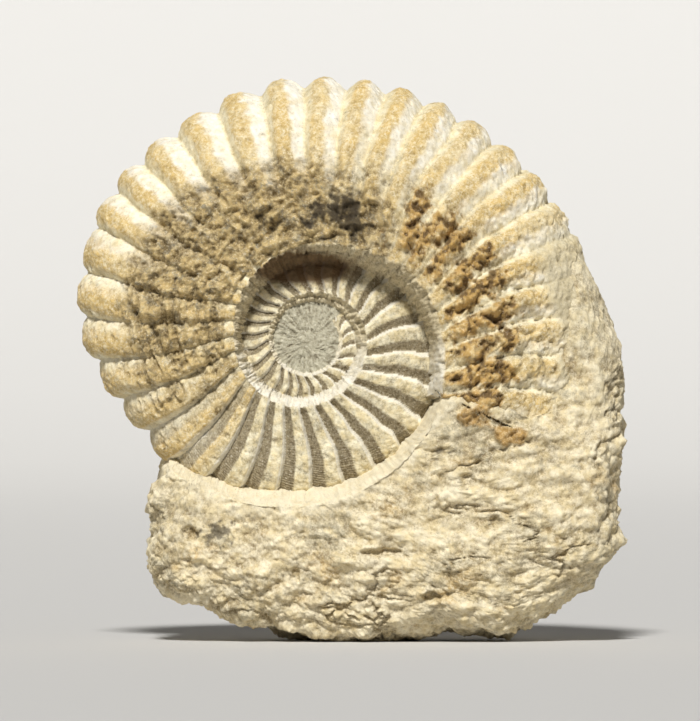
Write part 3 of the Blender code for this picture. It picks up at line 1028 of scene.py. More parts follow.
    def chalk(self, p: Places, t: Textures, crust: Array, worn: Array) -> Array:
        """Share of chalk in the grooves of the outer whorl.

        Args:
            p: where each vertex is on the coil.
            t: textures at the vertices.
            crust: share of the crust.
            worn: share of the worn patch.

        Returns:
            A share at each vertex.
        """
        slope = self.groove_side(p.phase) * (1 - self.groove_end(p.phase, t))
        slope = slope * (1 - self.chalk_left_loss * self.left_ribs(p.bearing))
        slope = np.maximum(slope, self.left_line(p.phase) * self.left_line_from(p.bearing))
        plain, top = self.chalk_shares
        whiter = plain + top * self.chalk_top(p.bearing) + blend(t, self.chalk_specks)
        chalk = slope * self.chalk_reach(p.across, t) * (1 - crust) * whiter
        chalk = chalk * (1 - self.chalk_worn_loss * worn)
        return chalk * (1 - self.chalk_end_loss * self.chalk_fades(p.bearing))

    def brown(self, shade: Array, t: Textures) -> Array:
        """Share of the brown in the shaded top of the sunken centre: partly the stone's own brown, partly
        painted shadow cast by the shoulder above.
        """
        gain, loss = self.brown_share
        return np.clip(gain * shade - loss + blend(t, self.brown_fray), 0, 1) * (shade > 0)

    def masks(self, p: Places, points: Array, t: Textures) -> dict[Mask, Array]:
        """Shares of each finish over the coil.

        Args:
            p: where each vertex is on the coil.
            points: the vertices before the relief.
            t: textures at the vertices.

        Returns:
            The masks that its finish reads.
        """
        fine = t[Stone.FINE]
        outer = self.outer_whorl(p.unwound) * p.front
        inner = (1 - self.outer_fades(p.unwound)) * p.front * (1 - p.disc)
        wall = (1 - self.wall_top(p.on_wall)) * p.front * (1 - p.disc)
        flank = outer * (1 - wall)
        worn = self.worn(p, t) * flank
        crust = self.crust(p, t, flank)
        stain = self.stain_edge(sum(stain.over(points) for stain in self.stains), t) * flank
        rock = self.rock_across(p.across, t) * self.rock_from(p.bearing) * flank
        rock = np.maximum(rock, self.rock_end_share * self.rock_end(p.bearing) * flank)
        chalk = self.chalk(p, t, crust, worn) * flank
        # Painted highlight: chalk-white on the walls below the middle of the coil, which face up into the
        # light.
        plain, specks = self.low_wall_chalk
        chalk += wall * self.low_wall(points[:, 2] - self.spiral.axis_z, t) * (plain + specks * fine)
        chalk += self.line_chalk * inner * self.carved_line(p.phase) * (1 - wall)
        chalk = np.clip(chalk, 0, 1) * (1 - rock)
        carved = inner * (1 - self.carved_side(p.phase, t)) * (1 - wall)
        shade = self.shade.over(points) * (1 - flank)
        return {
            Mask.CREST: self.crest_edge(p.rib, t) * outer * (1 - rock),
            Mask.CHALK: chalk,
            Mask.CARVED: np.clip(carved, 0, 1),
            Mask.WALL: wall,
            Mask.WORN: worn,
            Mask.CRUST: crust,
            Mask.STAIN: np.clip(stain, 0, 1),
            Mask.DISC: p.disc * p.front,
            Mask.FILL: (1 - p.front) * (1 - self.fill_edge(p.across, t)),
            Mask.ROCK: rock,
            Mask.BROWN: self.brown(shade, t),
        }

    def relief(self, p: Places, points: Array, t: Textures, masks: dict[Mask, Array]) -> Array:
        """Cuts the fine relief and adds the mask of painted shade in its hollows, with the dark streaks
        on the walls.

        Args:
            p: where each vertex is on the coil.
            points: the vertices before the relief.
            t: textures at the vertices.
            masks: shares of the finishes; the mask of painted hollow shade and wall streaks is added to
                them.

        Returns:
            Height of the relief along the normals.
        """
        worn, crust, rock, chalk = (
            masks[mask] for mask in (Mask.WORN, Mask.CRUST, Mask.ROCK, Mask.CHALK)
        )
        wall, disc, carved = masks[Mask.WALL], masks[Mask.DISC], masks[Mask.CARVED]
        outer = self.rough_whorl(p.unwound)
        smooth_part = np.clip(wall + disc + carved, 0, 1)
        rough_part = (1 - self.smoothing * smooth_part)
        rough_part = rough_part * (self.inner_rough + (1 - self.inner_rough) * outer)
        worn_away = self.worn_bearing(p.bearing) * self.worn_radius(p.radius) * p.front
        near_crust = self.crust_near(p.bearing) * outer * p.front * (1 - wall)
        near_crust = near_crust * (1 - self.near_rock_loss * rock)
        lump, own = Grain.nearest(points, size=1.5, seed=83)
        grain, _ = Grain.nearest(points, size=0.8, seed=89)
        pit, keep = Grain.nearest(points, size=2.6, seed=131)
        least, more = self.pit_radius
        pits = (keep > self.pit_share) * ease((least + more * keep - pit) / self.pit_wall)
        pits = pits * rough_part
        outwards = Grain.layered(points, self.coil_lumps, seed=11)
        fade = 1 - self.rock_fade * rock - self.worn_groove_fade * worn * (1 - rock)
        outwards += worn_away * Grain.layered(points, self.worn_lumps, seed=23) - p.groove * fade
        outwards += rough_part * blend(t, self.skin) + worn * blend(t, self.worn_relief)
        lumps = self.crust_lump * (self.grain_edge - lump) * (self.crust_even + own)
        outwards += crust * (lumps + self.crust_grain * (self.grain_edge - grain))
        outwards += crust * blend(t, self.crust_clots) + near_crust * blend(t, self.crust_breaks)
        outwards += rock * blend(t, self.rock_relief) + masks[Mask.FILL] * blend(t, self.fill_relief)
        outwards -= self.pit_depth * pits * (1 - crust)
        tool_mark = self.tool_wobble * Grain.waves(points, size=2.5, seed=151)
        tool_mark += p.radius / self.tool_spacing
        outwards += self.tool_depth * np.sin(2 * math.pi * tool_mark) * carved
        t[Stone.FIBRES] = t[Stone.FIBRES] * np.minimum(p.radius / self.fibre_core, 1.0)
        carved_ribs = (1 - outer) * p.front * (1 - p.disc)
        outwards += disc * blend(t, self.disc_relief) + wall * blend(t, self.wall_relief)
        outwards += np.maximum(smooth_part, carved_ribs) * blend(t, self.carved_relief)
        # Painted shade: the low parts of the relief, the pits, the gaps between crust lumps and the worn
        # patch are painted darker; the streaks on the walls are the stone's own.
        hollows = blend(t, self.hollow_skin) + worn * (blend(t, self.hollow_worn) - self.worn_dark)
        gain, middle = self.crust_hollow
        hollows += crust * (gain * (middle - lump) + blend(t, self.hollow_crust))
        hollows = self.hollow_base - hollows * (1 - smooth_part)
        hollow_shade_and_streaks = np.clip(hollows + self.pit_dark * pits, 0, 1)
        base, gain = self.streak_share
        streaked = np.clip(base - gain * t[Stone.STREAKS], 0, 1)
        streaked = streaked * (1 - self.streak_loss * self.streaks_fade(p.unwound))
        hollow_shade_and_streaks += streaked * wall * (1 - self.streak_chalk_loss * chalk)
        hollow_shade_and_streaks = np.clip(hollow_shade_and_streaks - self.fibre_dark * t[Stone.FIBRES] * disc, 0, 1)
        clean = self.clean_from(p.across) * (1 - worn) * (1 - crust) * outer * p.front
        for share, loss in zip((clean, chalk, crust), self.pit_losses):
            hollow_shade_and_streaks = hollow_shade_and_streaks * (1 - loss * share)
        masks[Mask.PIT] = hollow_shade_and_streaks
        s = self.spiral
        from_end = np.minimum(p.bearing - s.end, s.end + 360 - p.bearing)
        sunk = self.end_depth * ease((s.end + self.end_reach - p.bearing) / self.end_reach)
        return outwards * ease(from_end / s.end_plain) - sunk * p.front * outer * ease(p.on_wall * 2)

    def build(self) -> Surface:
        """The whole closed surface with its masks.

        Returns:
            The surface, ready to be made into pieces.
        """
        rings = self.rings()
        p = self.survey(rings)
        points = self.spiral.place(p.bearing, p.radius, p.height)
        flank = round(self.face_rings * self.flank_share)
        faces = {
            "ammonite_inner_whorls": rings.faces(0, self.middle_rings),
            "ammonite_flank": rings.faces(self.middle_rings, flank),
            "ammonite_venter": rings.faces(flank, self.face_rings),
            "ammonite_back": rings.faces(self.face_rings, self.all_rings),
        }
        normals = Surface(points, faces, {}).vertex_normals()
        t = textures(Stone, points, p.bearing, p.radius, p.height)
        masks = self.masks(p, points, t)
        points = points + normals * self.relief(p, points, t, masks)[:, None]
        points[:, 1] = held(points[:, 1])
        return Surface(points, faces, masks)


BEDDING = (0.6, 0.6, 1.15)


class Rock(Enum):
    """Textures of the block's stone."""

    COLLAR = Texture(Grain.fractal, 5.0, 3, 503)
    COARSE = Texture(Grain.fractal, 8.0, 3, 509)
    ROUGH = Texture(Grain.fractal, 3.0, 4, 511)
    CHIPS = Texture(Grain.billow, 6.5, 5, 523, BEDDING)
    SMALL = Texture(Grain.billow, 2.6, 4, 529)
    LEDGES = Texture(Grain.fractal, 10.0, 3, 531, BEDDING)
    CRACKS = Texture(Grain.fractal, 15.0, 5, 541, (0.5, 0.5, 1.0))
    BOULDERS = Texture(Grain.billow, 16.0, 3, 559)
    FOLDS = Texture(Grain.ridged, 4.0, 3, 563, (1.4, 1.0, 0.6))
    CHISEL = Texture(Grain.fractal, 1.0, 3, 571, (0.5, 0.25, 0.0), Grid.POLAR)


class Tint(Enum):
    """Textures of the block's colours."""

    BLOT = Texture(Grain.fractal, 14.0, 4, 587)
    FINE = Texture(Grain.fractal, 2.0, 3, 589)
    OCHRE = Texture(Grain.fractal, 9.0, 3, 599)


@dataclass
class Features:
    """Shares of the features of the block that its colours follow."""

    collar: Array
    margin: Array
    pocket: Array
    crust: Array
    cracked: Array


@dataclass
class Block(RingForm):
    """The matrix: collar, broken layered faces and the flat spot that it stands on."""

    face_rings: int = 260
    face_spacing: float = 0.34
    back_spacing: float = 0.7
    face_share: float = 0.6
    flat_share: float = 0.72
    mean_radius: float = 80.0
    spread: Curve = Curve(((0, 204), (330, 400), (360, 564)))
    packing: float = 196 / 330
    edge: Curve = Curve((
        (214, 39.0), (219, 45.0), (222, 51.5), (225, 57.2), (230, 61.4), (235, 70.3), (240, 72.9),
        (250, 71.2), (260, 72.8), (270, 74.4), (280, 77.6), (290, 79.4), (295, 80.6), (300, 85.6),
        (305, 89.8), (315, 92.4), (322, 94.2), (326, 93.6), (330, 89.6), (340, 82.8), (350, 79.6),
        (358, 78.0), (365, 75.2), (371, 72.4), (378, 69.6), (384, 62.0), (392, 50.0),
    ))
    front: Curve = Curve((
        (214, 14.0), (225, 16.5), (245, 19.5), (270, 21.5), (300, 22.5), (325, 22.7), (338, 22.9),
        (343, 20.6), (350, 18.2), (362, 17.2), (375, 15.2), (392, 11.0),
    ))
    back: Curve = Curve((
        (214, 14.0), (225, 17.0), (245, 21.0), (270, 23.0), (300, 23.6), (325, 23.0), (340, 20.5),
        (360, 17.0), (392, 11.0),
    ))
    collar_foot: Curve = Curve((
        (214, 45.5), (222, 43.2), (240, 37.5), (270, 33.6), (300, 32.9), (322, 33.0), (339, 33.8),
        (342.5, 54.0), (351, 56.5), (360, 57.5), (370, 59.5), (392, 61.0),
    ))
    collar_width: Curve = Curve((
        (214, 2.5), (222, 4.0), (240, 7.0), (270, 7.5), (300, 5.5), (322, 4.0), (338, 3.4),
        (346, 8.0), (392, 8.0),
    ))
    back_collar: tuple[float, float] = (20.0, 5.0)
    core_half: float = 4.0
    core_reach: float = 0.7
    edge_power: float = 9.0
    edge_round: float = 0.32
    rock_lumps: Layers = ((22.0, 1.1), (9.0, 0.7))
    collar_fray: float = 2.4
    collar_ends: Step = Step(345, 339)
    ledge_steps: float = 3.0
    ledge_rise: Step = Step(0.35, 0.65)
    margin: Patch = Patch((64.0, 88.0), (26.0, 36.0), 1.6)
    pockets: tuple[Patch, ...] = (
        Patch((-13.6, 17.0), (3.0, 4.5)), Patch((20.0, 11.5), (4.0, 3.0)),
        Patch((8.0, 22.5), (11.0, 2.2)), Patch((29.0, 40.0), (3.5, 5.0)),
        Patch((-40.0, 27.0), (5.0, 3.5)), Patch((36.0, 30.0), (3.0, 4.0)),
    )
    pocket_edge: Fray = Fray(Step(0.45, 0.80), ((Rock.ROUGH, 0.7),))
    pocket_depth: float = 1.5
    crusts: tuple[Patch, ...] = (Patch((30.0, 56.0), (8.0, 4.5)), Patch((40.0, 51.5), (8.0, 4.0)))
    crust_edge: Fray = Fray(Step(0.35, 0.65), ((Rock.ROUGH, 0.9), (Rock.COARSE, 0.5)))
    crust_relief: Mix = ((Rock.SMALL, 1.6),)
    spots: tuple[Patch, ...] = (Patch((-33.0, 27.0), (13.0, 9.0)), Patch((22.0, 47.0), (8.0, 5.0)))
    broken_relief: Mix = (
        (Rock.COARSE, 1.3), (Rock.ROUGH, 0.4), (Rock.CHIPS, 2.0), (Rock.SMALL, 0.5),
        (Rock.BOULDERS, 1.8),
    )
    ledge_depth: float = 0.9
    crack_depth: float = 1.1
    crack_width: float = 0.035
    cracked_parts: Step = Step(-0.1, 0.2)
    collar_plain: float = 0.75
    margin_plain: float = 0.65
    grit_height: float = 0.3
    grit_edge: float = 0.55
    grit_share: float = 0.4
    crust_height: float = 0.7
    crust_grit_edge: float = 0.6
    fold_depth: float = 1.1
    collar_relief: Mix = ((Rock.CHISEL, 0.7), (Rock.ROUGH, 0.5), (Rock.SMALL, 0.4))
    hollows: Mix = ((Rock.ROUGH, 0.9), (Rock.CHIPS, 1.1), (Rock.SMALL, 0.8))
    grey_edge: Fray = Fray(Step(0.05, 0.40), ((Tint.FINE, 0.8),))
    ochre_edge: Fray = Fray(Step(0.15, 0.45), ((Tint.FINE, 0.4),))
    spot_edge: Fray = Fray(Step(0.75, 1.10), ((Tint.FINE, 1.3),))
    spot_rough: float = 0.6
    # Painted shade: how much darker the cracks, pockets and low parts of the broken faces are painted.
    crack_dark: float = 1.2
    pocket_dark: float = 0.5
    hollow_base: float = 0.35
    collar_clean: float = 0.8
    collar_chalk: tuple[float, float] = (0.65, 1.2)
    pale_chalk: float = 0.35
    pale_parts: Step = Step(0.0, -0.4)
    # Partly grey stone, partly painted shade: the right margin is painted greyer for the shade on that
    # side.
    margin_grey: float = 0.7
    margin_grey_base: float = 0.7

    def build(self) -> Surface:
        """The whole closed surface with its masks.

        Returns:
            The surface, ready to be made into pieces.
        """
        s = self.spiral
        rings = self.rings()
        bearing, front = rings.bearing, rings.station <= 0.5
        outside = (bearing < self.edge.knots[0][0]) | (bearing > self.edge.knots[-1][0])
        edge = np.where(outside, self.core_reach * s.rim(s.turn(bearing)), self.edge(bearing))
        radius = self.radii(rings.station, self.flat_share * edge, edge)
        foot = np.where(front, self.collar_foot(bearing), self.back_collar[0])
        width = np.where(front, self.collar_width(bearing), self.back_collar[1])
        face = np.where(front, self.front(bearing), self.back(bearing))
        face = np.where(outside, self.core_half, face)
        up_collar = ease((radius - foot) / width)
        rounding = (1 - np.minimum(radius / edge, 1.0) ** self.edge_power) ** self.edge_round
        height = (self.core_half + (face - self.core_half) * up_collar) * rounding
        points = s.place(bearing, radius, np.where(front, height, -height))
        faces = {
            "matrix_face": rings.faces(0, self.middle_rings),
            "matrix_edge": rings.faces(self.middle_rings, self.face_rings),
            "matrix_back": rings.faces(self.face_rings, self.all_rings),
        }
        normals = Surface(points, faces, {}).vertex_normals()
        t = textures(Rock, points, bearing, radius, height)
        collar = radius - foot - 0.5 * width + self.collar_fray * t[Rock.COLLAR]
        collar = np.where(front, 1 - ease(collar / (width + self.collar_fray)), 0.0)
        collar = collar * self.collar_ends(bearing)
        outwards, features = self.relief(points, t, collar, up_collar, front)
        points = points + normals * outwards[:, None]
        points[:, 1] = held(points[:, 1])
        points[:, 2] = np.maximum(points[:, 2], 0.0)
        tints = textures(Tint, points, bearing, radius, height)
        return Surface(points, faces, self.masks(points, t, tints, features))

    def relief(
        self, points: Array, t: Textures, collar: Array, up_collar: Array, front: Array
    ) -> tuple[Array, Features]:
        """Cuts the broken faces of the block.

        Args:
            points: the vertices before the relief.
            t: textures at the vertices.
            collar: share of the plain collar round the inner whorls.
            up_collar: share of the rise from the core to the face.
            front: which vertices are on the photo's side.

        Returns:
            Height of the relief along the normals, and the features that the colours follow.
        """
        steps = t[Rock.LEDGES] * self.ledge_steps
        ledge = (np.floor(steps) + self.ledge_rise(steps % 1.0)) / self.ledge_steps
        cracked = 1 - ease(np.abs(t[Rock.CRACKS]) / self.crack_width)
        cracked = cracked * self.cracked_parts(Grain.waves(points, size=22.0, seed=547))
        grit, own = Grain.nearest(points, size=1.7, seed=557)
        margin = np.minimum(self.margin.over(points), 1.0)
        pocket = np.max([pocket.over(points) for pocket in self.pockets], axis=0)
        pocket = self.pocket_edge.within(pocket, t) * front
        crust = sum(crust.over(points) for crust in self.crusts)
        crust = self.crust_edge.within(crust, t) * front
        outwards = Grain.layered(points, self.rock_lumps, seed=41) * up_collar
        broken = up_collar * (1 - self.collar_plain * collar) * (1 - self.margin_plain * margin)
        grains = self.grit_height * (self.grit_edge - grit) * (own > self.grit_share)
        outwards += broken * (blend(t, self.broken_relief) + self.ledge_depth * ledge)
        outwards += broken * (grains - self.crack_depth * cracked)
        outwards -= self.pocket_depth * pocket
        lumps = self.crust_grit_edge - grit + blend(t, self.crust_relief)
        outwards += crust * (self.crust_height + lumps)
        outwards += margin * self.fold_depth * t[Rock.FOLDS] * up_collar
        outwards += collar * blend(t, self.collar_relief)
        return outwards, Features(collar, margin, pocket, crust, cracked)

    def masks(self, points: Array, t: Textures, tints: Textures, f: Features) -> dict[Mask, Array]:
        """Shares of each finish over the block.

        Args:
            points: the finished vertices.
            t: textures at the vertices before the relief.
            tints: textures at the finished vertices.
            f: features that the colours follow.

        Returns:
            The masks that its finish reads.
        """
        blot, fine = tints[Tint.BLOT], tints[Tint.FINE]
        plain = 1 - f.collar
        grey = self.grey_edge(blot, tints) * plain
        # Painted shade over the right margin, together with its grey.
        margin_grey = self.margin_grey * f.margin * (self.margin_grey_base + fine)
        spots = sum(spot.over(points) for spot in self.spots) + self.spot_rough * t[Rock.ROUGH]
        # Painted shade in the low parts of the broken faces, the cracks and the pockets.
        hollows = blend(t, self.hollows) - self.crack_dark * f.cracked - self.pocket_dark * f.pocket
        plain_chalk, specks = self.collar_chalk
        chalk = f.collar * (plain_chalk + specks * fine) + self.pale_chalk * self.pale_parts(blot)
        return {
            Mask.CHALK: np.clip(chalk, 0, 1),
            Mask.GREY: np.clip(grey + margin_grey, 0, 1),
            Mask.STAIN: self.spot_edge(spots, tints),
            Mask.PIT: np.clip(self.hollow_base - hollows, 0, 1) * (1 - self.collar_clean * f.collar),
            Mask.OCHRE: self.ochre_edge(tints[Tint.OCHRE], tints) * plain,
            Mask.CRUST: f.crust,
        }


Colour = tuple[float, float, float]
SHINE = 0.25


def tone(red: int, green: int, blue: int) -> Colour:
    """Linear colour from the 0 to 255 values of a screen colour.

    Args:
        red: share of red, 0 to 255.
        green: share of green.
        blue: share of blue.

    Returns:
        The three linear shares.
    """
    def linear(value: int) -> float:
        """Linear share of one channel."""
        share = value / 255
        return share / 12.92 if share <= 0.04045 else ((share + 0.055) / 1.055) ** 2.4

    return (linear(red), linear(green), linear(blue))


class Noise(Enum):
    """Fine noises of the finishes: size in millimetres, detail and roughness."""

    BROAD = (11.0, 4.0, 0.6)
    MEDIUM = (2.6, 6.0, 0.7)
    ROCK = (3.0, 6.0, 0.7)
    FINE = (0.9, 5.0, 0.75)
    GRAIN = (0.45, 4.0, 0.7)


@dataclass(frozen=True)
class Span:
    """Smooth change of a noise or mask: from low to high it goes from to_low to to_high."""

    by: Noise | Mask
    low: float
    high: float
    to_low: float = 0.0
    to_high: float = 1.0


@dataclass(frozen=True)
class Coat:
    """A colour laid over those below it, by a mask, spans and a strength."""

    name: str
    colour: Colour
    mask: Mask | None = None
    spans: tuple[Span, ...] = ()
    strength: float = 1.0


class NodeSheet:
    """Short calls for wiring a material."""

    def __init__(self, name: str) -> None:
        """Starts an empty node tree with a stone shader.

        Args:
            name: name of the material.
        """
        self.material = bpy.data.materials.new(name)
        self.material.use_nodes = True
        self.tree = self.material.node_tree
        self.shader = self.tree.nodes["Principled BSDF"]
        self.place = self.tree.nodes.new("ShaderNodeTexCoord").outputs["Object"]
        self.noises: dict[Noise, bpy.types.NodeSocket] = {}

    def mask(self, mask: Mask) -> bpy.types.NodeSocket:
        """Share of a mask.

        Args:
            mask: the mask.

        Returns:
            The socket of the result.
        """
        reader = self.tree.nodes.new("ShaderNodeAttribute")
        reader.attribute_name = mask.value
        return reader.outputs["Fac"]

    def noise(self, kind: Noise) -> bpy.types.NodeSocket:
        """Noise of one kind, made once.

        Args:
            kind: which noise.

        Returns:
            The socket of the result.
        """
        if kind not in self.noises:
            size_mm, detail, rough = kind.value
            node = self.tree.nodes.new("ShaderNodeTexNoise")
            node.inputs["Scale"].default_value = 1 / (size_mm * MM)
            node.inputs["Detail"].default_value = detail
            node.inputs["Roughness"].default_value = rough
            self.tree.links.new(self.place, node.inputs["Vector"])
            self.noises[kind] = node.outputs["Fac"]
        return self.noises[kind]

    def span(self, span: Span) -> bpy.types.NodeSocket:
        """Share that follows a noise or a mask.

        Args:
            span: how it follows.

        Returns:
            The socket of the result.
        """
        value = self.noise(span.by) if isinstance(span.by, Noise) else self.mask(span.by)
        node = self.tree.nodes.new("ShaderNodeMapRange")
        node.interpolation_type = "SMOOTHSTEP"
        node.inputs["From Min"].default_value = span.low
        node.inputs["From Max"].default_value = span.high
        node.inputs["To Min"].default_value = span.to_low
        node.inputs["To Max"].default_value = span.to_high
        self.tree.links.new(value, node.inputs["Value"])
        return node.outputs["Result"]

    def times(self, a: bpy.types.NodeSocket, b: bpy.types.NodeSocket | float) -> bpy.types.NodeSocket:
        """Product of two values.

        Args:
            a: one value.
            b: the other, or a number.

        Returns:
            The socket of the result.
        """
        node = self.tree.nodes.new("ShaderNodeMath")
        node.operation = "MULTIPLY"
        self.tree.links.new(a, node.inputs[0])
        if isinstance(b, float):
            node.inputs[1].default_value = b
        else:
            self.tree.links.new(b, node.inputs[1])
        return node.outputs[0]

    def share(self, coat: Coat) -> bpy.types.NodeSocket:
        """Share of a coat: its mask times its spans and its strength.

        Args:
            coat: the coat.

        Returns:
            The socket of the result.
        """
        factors = [self.mask(coat.mask)] if coat.mask else []
        factors += [self.span(span) for span in coat.spans]
        share = factors[0]
        for factor in factors[1:]:
            share = self.times(share, factor)
        return share if coat.strength == 1.0 else self.times(share, coat.strength)

    def lay(self, coat: Coat, under: bpy.types.NodeSocket | Colour) -> bpy.types.NodeSocket:
        """Lays a coat over the colours below it.

        Args:
            coat: the coat.
            under: the colour below.

        Returns:
            The socket of the result.
        """
        node = self.tree.nodes.new("ShaderNodeMix")
        node.label = coat.name
        node.data_type = "RGBA"
        self.tree.links.new(self.share(coat), node.inputs["Factor"])
        if isinstance(under, tuple):
            node.inputs[6].default_value = (*under, 1.0)
        else:
            self.tree.links.new(under, node.inputs[6])
        node.inputs[7].default_value = (*coat.colour, 1.0)
        return node.outputs[2]

    def bump(self, height: bpy.types.NodeSocket, depth_mm: float,
             under: bpy.types.NodeSocket | None = None) -> bpy.types.NodeSocket:
        """Bump of a depth over an earlier normal.

        Args:
            height: what the bump follows.
            depth_mm: its depth in millimetres.
            under: the normal below, if there is one.

        Returns:
            The socket of the result.
        """
        node = self.tree.nodes.new("ShaderNodeBump")
        node.inputs["Strength"].default_value = 1.0
        node.inputs["Distance"].default_value = depth_mm * MM
        self.tree.links.new(height, node.inputs["Height"])
        if under is not None:
            self.tree.links.new(under, node.inputs["Normal"])
        return node.outputs["Normal"]

    def done(self, colour: bpy.types.NodeSocket, normal: bpy.types.NodeSocket,
             roughness: float) -> bpy.types.Material:
        """Wires the results to the shader.

        Args:
            colour: the colour.
            normal: the normal.
            roughness: the roughness.

        Returns:
            The finished material.
        """
        self.tree.links.new(colour, self.shader.inputs["Base Color"])
        self.tree.links.new(normal, self.shader.inputs["Normal"])
        self.shader.inputs["Roughness"].default_value = roughness
        self.shader.inputs["Specular IOR Level"].default_value = SHINE
        return self.material


@dataclass(frozen=True)
class Finish:
    """A limestone: its plain colour, the coats over it, its roughness and its fine bumps."""

    name: str
    body: Colour
    coats: tuple[Coat, ...]
    roughness: float
    bumps: tuple[tuple[Noise, float], ...] = ((Noise.FINE, 0.24), (Noise.GRAIN, 0.07))

    def material(self) -> bpy.types.Material:
        """The node material.

        Returns:
            The material, ready to be put on a mesh.
        """
        n = NodeSheet(self.name)
        colour, normal = self.body, None
        for coat in self.coats:
            colour = n.lay(coat, colour)
        for noise, depth_mm in self.bumps:
            normal = n.bump(n.noise(noise), depth_mm, normal)
        return n.done(colour, normal, self.roughness)


FINE, MEDIUM, GRAIN = Noise.FINE, Noise.MEDIUM, Noise.GRAIN
CHALK_WHITE = tone(246, 241, 226)
# Brown of the painted shade in hollows and of the dark grains.
SHADE_AND_GRAIN_BROWN = tone(92, 78, 54)
FOSSIL_FINISH = Finish("fossil_limestone", tone(230, 213, 168), (
    Coat("pale", tone(243, 233, 201), None, (Span(MEDIUM, 0.38, 0.62),)),
    Coat("patina", tone(214, 182, 114), Mask.CREST,
         (Span(FINE, 0.32, 0.62, 0.25), Span(Noise.BROAD, 0.3, 0.6, 0.55))),
    Coat("wall", tone(228, 213, 176), Mask.WALL, strength=0.85),
    Coat("worn", tone(190, 164, 110), Mask.WORN, (Span(FINE, 0.3, 0.6, 0.4),)),
    Coat("worn grey", tone(128, 122, 104), Mask.WORN, (Span(MEDIUM, 0.50, 0.64, 0.0, 0.8),)),
    Coat("worn pale", tone(230, 214, 166), Mask.WORN, (Span(FINE, 0.52, 0.66, 0.0, 0.85),)),
    Coat("carved", tone(150, 137, 110), Mask.CARVED, strength=0.9),
    Coat("carved dark", tone(112, 99, 74), Mask.CARVED, (Span(FINE, 0.42, 0.66, 0.0, 0.8),)),
    Coat("disc", tone(192, 186, 162), Mask.DISC),
    # Partly the rock's own grey, partly painted shade: toned darker for the right edge, which slopes away
    # from the light.
    Coat("rock", tone(196, 183, 150), Mask.ROCK, strength=0.85),
    # Chalk in the grooves, and painted highlight on the lower walls.
    Coat("chalk", CHALK_WHITE, Mask.CHALK, (Span(FINE, 0.25, 0.5, 0.45),)),
    Coat("crust", tone(194, 157, 92), Mask.CRUST, strength=0.95),
    Coat("crust pale", tone(230, 208, 156), Mask.CRUST, (Span(MEDIUM, 0.5, 0.68, 0.0, 0.85),)),
    # Painted shade: the crust darker in its hollows.
    Coat("crust dark", tone(108, 79, 43), Mask.CRUST, (Span(Mask.PIT, 0.3, 0.7, 0.0, 0.8),)),
    Coat("pale grains", CHALK_WHITE, None, (Span(GRAIN, 0.46, 0.28, 0.0, 0.45),)),
    # Painted shadow: brown over the shaded top of the sunken centre, partly the stone's own brown.
    Coat("brown", tone(104, 76, 46), Mask.BROWN, strength=0.92),
    # Painted shade in hollows and pits, with the dark streaks on the walls.
    Coat("pits", SHADE_AND_GRAIN_BROWN, Mask.PIT, (Span(FINE, 0.34, 0.66, 0.3, 0.95),)),
    Coat("stain", tone(54, 46, 36), Mask.STAIN, strength=0.9),
    Coat("fill", tone(206, 189, 150), Mask.FILL, (Span(MEDIUM, 0.35, 0.6, 0.1, 0.8),)),
    Coat("dark grains", SHADE_AND_GRAIN_BROWN, None, (Span(GRAIN, 0.54, 0.74, 0.0, 0.42),)),
), roughness=0.92)

CREAM_WHITE = tone(238, 228, 200)
# Brown of the painted shade in cracks and hollows and of the dark grains.
CRACK_SHADE_AND_GRAIN_BROWN = tone(118, 98, 64)
MATRIX_FINISH = Finish("matrix_limestone", tone(224, 206, 162), (
    Coat("cream", tone(242, 230, 198), None, (Span(Noise.ROCK, 0.38, 0.62),)),
    Coat("ochre", tone(208, 178, 122), Mask.OCHRE, (Span(FINE, 0.38, 0.62, 0.2, 0.9),)),
    # Grey patches, and painted shade over the right margin.
    Coat("grey", tone(166, 157, 132), Mask.GREY, (Span(FINE, 0.35, 0.65, 0.35, 0.9),)),
    Coat("chalk", CREAM_WHITE, Mask.CHALK, (Span(FINE, 0.3, 0.55, 0.5),)),
    Coat("crust", tone(190, 152, 90), Mask.CRUST, (Span(FINE, 0.3, 0.6, 0.55),)),
    # Painted shade in cracks, pockets and hollows.
    Coat("pits", CRACK_SHADE_AND_GRAIN_BROWN, Mask.PIT, (Span(FINE, 0.34, 0.66, 0.15, 0.8),)),
    Coat("stain", tone(84, 76, 62), Mask.STAIN, strength=0.75),
    Coat("dark grains", CRACK_SHADE_AND_GRAIN_BROWN, None, (Span(GRAIN, 0.54, 0.74, 0.0, 0.40),)),
    Coat("pale grains", CREAM_WHITE, None, (Span(GRAIN, 0.46, 0.28, 0.0, 0.40),)),
), roughness=0.93)


